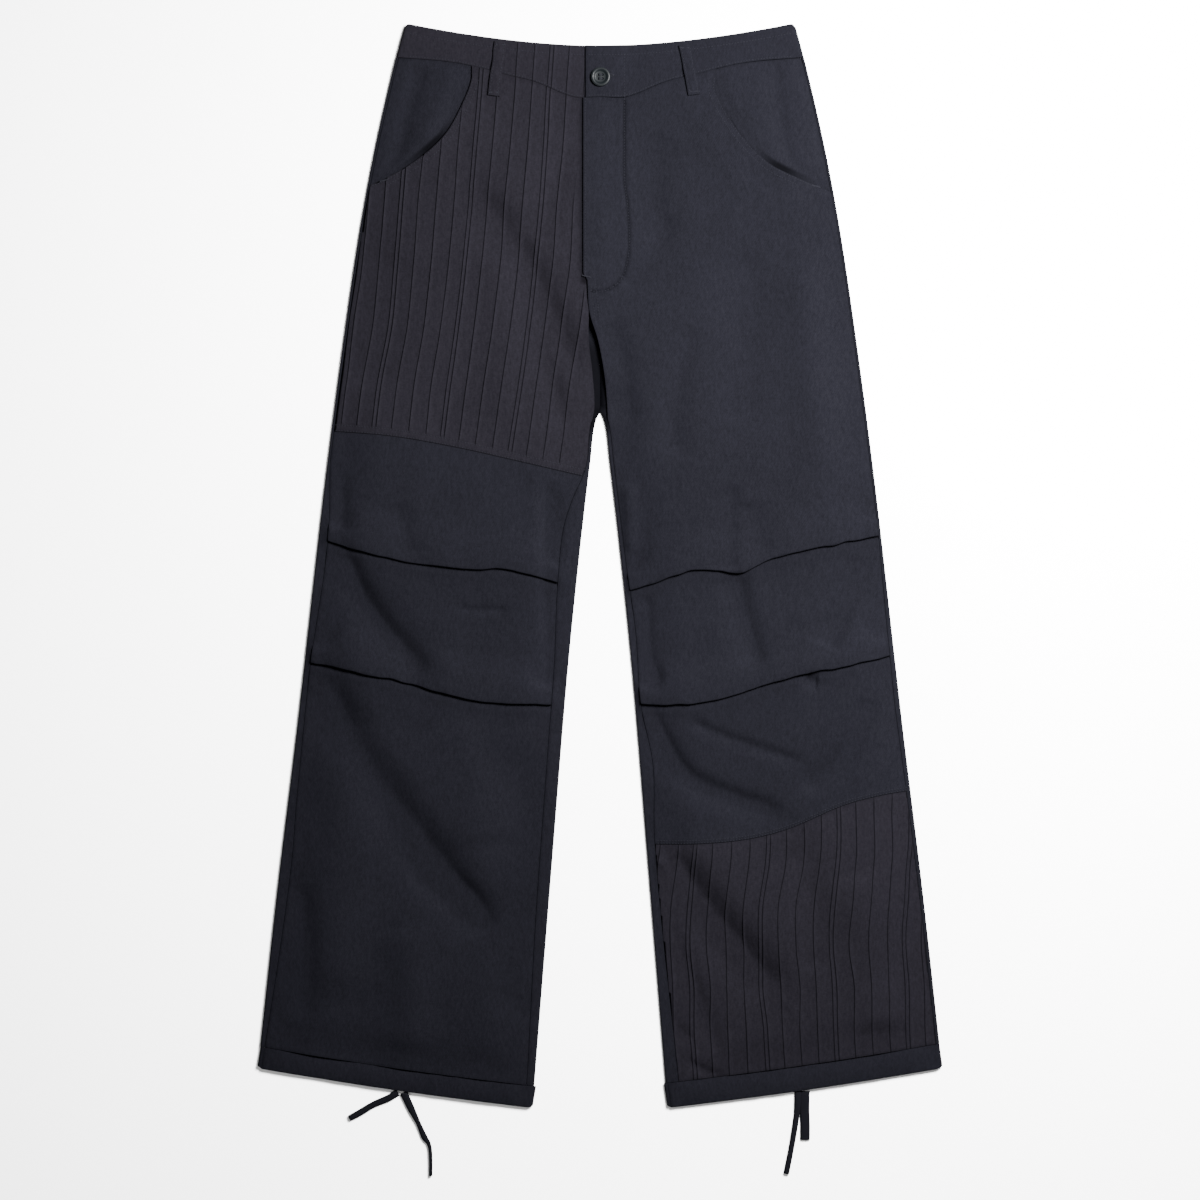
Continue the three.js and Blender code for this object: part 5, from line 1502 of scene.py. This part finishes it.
def topstitches():
    """Lines of stitches along the seams, the pockets, the fly and the waistband."""
    rows = []
    for leg, seam, start, end, distances in (
        ("right", thigh_seam, -264, -16, (1.2, 6.7)), ("left", cuff_seam, 58, 306, (1.1, 3.6)),
    ):
        x = np.linspace(start, end, 120)
        rows += [on_front(leg, x, seam(x) - away, FELL + 0.1) for away in distances]
    rows += [beside_pocket(leg, away, 40, 164) for leg in SIGN for away in (1.4, 6.4)]
    rows.append(on_front("left", FLY_STITCH[:, 0], FLY_STITCH[:, 1], STITCH_HIGH))
    rows.append(on_front("left", FLY_EDGE + 1.8, np.linspace(76, 252, 80), STITCH_HIGH))
    below_fly = np.linspace(262, 297, 20)
    for x in (-9.2, -4.6):
        rows.append(on_front("left", x + 0.12 * (below_fly - 262), below_fly, STITCH_HIGH))
    for leg, start, end in (("right", -190, -17), ("left", -11, 190)):
        x = np.linspace(start, end, 110)
        rows += [on_band(leg, x, waist_top(x) + BAND_STITCH), on_band(leg, x, band_seam(x) - 1.8)]
    fly = FLY_STITCH[0, 0]
    across_band = waist_top(fly) + BAND_STITCH + np.linspace(0, 41.76, 30)
    rows.append(on_band("left", fly, across_band))
    share = np.linspace(0.04, 0.96, 30)
    for leg in SIGN:
        for across in (-0.7, 0.7):
            high = np.array([0, 0, CLOTH / 2 + STITCH_HIGH])
            rows.append(loop_surface(leg, share, across) + high)
    return rows


def bar_tacks():
    """Short tacks at the fly's end, at the pockets' ends and across the belt loops."""
    reach = np.linspace(-4, 4, 12)
    places = ((-13.5, 254, "left"), (216, 163.5, "left"), (-216, 157.5, "right"))
    tacks = [on_front(leg, x + reach, down + 0.25 * reach * SIGN[leg], 0.12)
             for x, down, leg in places]
    reach = np.linspace(-4.6, 4.6, 12)
    for row in FRONT_LOOPS.values():
        for end, into, high in (("top", LOOP_TACK, 6.7), ("foot", -LOOP_TACK, 7.55)):
            x, down = row[end]
            tacks.append(to_points(x + reach, down + into, high))
    return tacks


def buttonhole():
    """The ring of stitches round the buttonhole."""
    angle = np.linspace(0, 2 * math.pi, 60)
    ring = on_band("left", 6.2 + 7.6 * np.cos(angle), 52.6 + 1.5 * np.sin(angle))
    return ring + np.array([0, 0, 0.12])


# The studio, in metres and watts. Each light has its place, aim, size and power.
CAMERA_AT = (0.0, -0.0345, 2.838)
CAMERA_LENS = 85
CAMERA_SENSOR = 36
CAMERA_FAR = 20
LIGHTS = (
    ("key", (0.68, 0.6, 1.12), (-0.1, -0.35, 0.0), 0.5, 355.0),
    ("fill", (-1.6, -0.9, 1.9), (0.0, 0.0, 0.0), 2.2, 8.0),
)
WORLD_LIGHT = 0.42
FLOOR_REACH = 6.0
FLOOR_DROP = 0.0004


class TROUSERS_OT_stage(bpy.types.Operator):
    """Set the camera, the lights and the pale floor"""

    bl_idname = "trousers.stage"
    bl_label = "Stage"

    def execute(self, context):
        scene = context.scene
        camera = bpy.data.objects.new("camera", bpy.data.cameras.new("camera"))
        camera.data.lens = CAMERA_LENS
        camera.data.sensor_width = CAMERA_SENSOR
        camera.data.clip_end = CAMERA_FAR
        camera.location = CAMERA_AT
        scene.collection.objects.link(camera)
        scene.camera = camera
        for name, place, aim, size, power in LIGHTS:
            light = bpy.data.objects.new(name, bpy.data.lights.new(name, "AREA"))
            light.data.size = size
            light.data.energy = power
            light.location = place
            light.rotation_euler = (Vector(aim) - Vector(place)).to_track_quat("-Z", "Y").to_euler()
            scene.collection.objects.link(light)
        world = scene.world or bpy.data.worlds.new("studio")
        scene.world = world
        world.use_nodes = True
        background = world.node_tree.nodes["Background"]
        background.inputs["Color"].default_value = (1.0, 1.0, 1.0, 1.0)
        background.inputs["Strength"].default_value = WORLD_LIGHT
        mesh = bpy.data.meshes.new("floor")
        corners = [(-FLOOR_REACH, -FLOOR_REACH), (FLOOR_REACH, -FLOOR_REACH),
                   (FLOOR_REACH, FLOOR_REACH), (-FLOOR_REACH, FLOOR_REACH)]
        mesh.from_pydata([(x, y, -FLOOR_DROP) for x, y in corners], [], [(0, 1, 2, 3)])
        floor = bpy.data.objects.new("floor", mesh)
        scene.collection.objects.link(floor)
        colour = tint(scene.trouser_colours.floor)
        wear(floor, Shader("floor").finish({"Base Color": colour, "Roughness": 0.8}))
        floor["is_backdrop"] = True
        return {"FINISHED"}


class TROUSERS_OT_backs(bpy.types.Operator):
    """Lay the two back panels"""

    bl_idname = "trousers.backs"
    bl_label = "Backs"

    def execute(self, context):
        for leg in ("right", "left"):
            piece = back_panel(leg)
            dress(piece, [f"back_{leg}"], materials()["twill"], spare=(0.03, 0.0))
        return {"FINISHED"}


class TROUSERS_OT_fronts(bpy.types.Operator):
    """Lay the fronts, with their pintucks and knee tucks"""

    bl_idname = "trousers.fronts"
    bl_label = "Fronts"

    def execute(self, context):
        cloth = materials()
        tucks = (0.0, 4 * TUCK_DEPTH * MM)
        dress(right_thigh(), ["front_right_thigh"], cloth["pleated"],
              (0.03, 0.0))
        dress(right_leg(), ["front_right_leg"], cloth["twill"], tucks)
        dress(left_front(), ["front_left"], cloth["twill"],
              tucks)
        dress(left_cuff(), ["front_left_cuff"], cloth["pleated"],
              (0.03, 0.0))
        return {"FINISHED"}


class TROUSERS_OT_hips(bpy.types.Operator):
    """Lay the cloth behind the pockets' mouths"""

    bl_idname = "trousers.hips"
    bl_label = "Pocket facings"

    def execute(self, context):
        for leg in ("right", "left"):
            dress(facing(leg), [f"pocket_facing_{leg}"], materials()["twill"])
        return {"FINISHED"}


class TROUSERS_OT_waist(bpy.types.Operator):
    """Lay the waistband and its belt loops"""

    bl_idname = "trousers.waist"
    bl_label = "Waistband"

    def execute(self, context):
        cloth = materials()
        dress(band_back(), ["waistband_back"], cloth["twill"])
        for name, x in BACK_LOOPS.items():
            dress(back_loop(name, x), [name], cloth["twill"])
        for leg, kind, slot in (("right", "pleated", "pleated_cloth"), ("left", "twill", "twill")):
            dress(band_front(leg), [f"waistband_front_{leg}"], cloth[kind],
                  (0.01, 0.0))
            dress(front_loop(leg), [f"loop_front_{leg}"], cloth[kind])
        return {"FINISHED"}


class TROUSERS_OT_button(bpy.types.Operator):
    """Sew on the fly button"""

    bl_idname = "trousers.button"
    bl_label = "Button"

    def execute(self, context):
        piece, at = button_mesh()
        wear(piece, materials()["button"])
        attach(piece, "root")
        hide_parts("button")
        bow = ((-BUTTON_HOLES, 1.5), (-1.2, 2.15), (0, 2.3), (1.2, 2.15), (BUTTON_HOLES, 1.5))
        lines = [at + np.array([(x, side + shift, high) for x, high in bow])
                 for side in (-BUTTON_HOLES, BUTTON_HOLES) for shift in (-0.35, 0.0, 0.35)]
        sew("button_thread", lines, 0.0007, 0.0012, 0.00045, 0, materials()["thread"])
        return {"FINISHED"}


class TROUSERS_OT_hems(bpy.types.Operator):
    """Lay the hem bands"""

    bl_idname = "trousers.hems"
    bl_label = "Hem bands"

    def execute(self, context):
        for leg in ("right", "left"):
            dress(hem_band(leg), [f"hem_{leg}"], materials()["twill"], spare=(0.3, 0.0))
        return {"FINISHED"}


class TROUSERS_OT_tapes(bpy.types.Operator):
    """Lay the free tails of the drawcords"""

    bl_idname = "trousers.tapes"
    bl_label = "Drawcord tails"

    def execute(self, context):
        for name, row in TAILS.items():
            piece, centre, length = tape(name, row)
            wear(piece, materials()["tape"])
            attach(piece, "root")
            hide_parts(row["node"])
            path = (centre * MM).tolist()
            length * MM
        return {"FINISHED"}


class TROUSERS_OT_sewing(bpy.types.Operator):
    """Sew the topstitching, the bar tacks and the buttonhole"""

    bl_idname = "trousers.sewing"
    bl_label = "Sewing"

    def execute(self, context):
        sizes = context.scene.trouser_sizes
        thread = materials()["thread"]
        pitch, stitch, wide = sizes.stitch_pitch, sizes.stitch_length, sizes.thread
        sew("topstitching", topstitches(), pitch, stitch, wide, 0, thread)
        sew("bar_tacks", bar_tacks(), 0.00055, 0.0021, 0.0005, 90, thread)
        sew("buttonhole", [buttonhole()], 0.0005, 0.0019, 0.00045, 90, thread)
        return {"FINISHED"}


OPERATORS = (
    TROUSERS_OT_stage, TROUSERS_OT_tapes, TROUSERS_OT_backs, TROUSERS_OT_hips,
    TROUSERS_OT_fronts, TROUSERS_OT_waist, TROUSERS_OT_hems, TROUSERS_OT_button,
    TROUSERS_OT_sewing,
)


class TROUSERS_PT_build(bpy.types.Panel):
    """The steps of the garment and their sizes"""

    bl_label = "Trousers"
    bl_idname = "TROUSERS_PT_build"
    bl_space_type = "VIEW_3D"
    bl_region_type = "UI"
    bl_category = "Trousers"

    def draw(self, context):
        layout = self.layout
        for group in (context.scene.trouser_sizes, context.scene.trouser_colours):
            column = layout.column()
            for name in group.bl_rna.properties.keys():
                if name not in ("rna_type", "name"):
                    column.prop(group, name)
        for operator in OPERATORS:
            layout.operator(operator.bl_idname)


CLASSES = (TrouserSizes, TrouserColours, *OPERATORS, TROUSERS_PT_build)


def register():
    for kind in CLASSES:
        bpy.utils.register_class(kind)
    bpy.types.Scene.trouser_sizes = PointerProperty(type=TrouserSizes)
    bpy.types.Scene.trouser_colours = PointerProperty(type=TrouserColours)


def unregister():
    del bpy.types.Scene.trouser_sizes
    del bpy.types.Scene.trouser_colours
    for kind in reversed(CLASSES):
        bpy.utils.unregister_class(kind)


def main():
    """Register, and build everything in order."""
    register()
    for operator in OPERATORS:
        step = getattr(bpy.ops.trousers, operator.bl_idname.split(".")[1])
        if step() != {"FINISHED"}:
            raise RuntimeError(f"{operator.bl_label} didn't finish")
    made = [[float(value) for value in corner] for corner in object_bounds()]


if __name__ == "__main__":
    main()
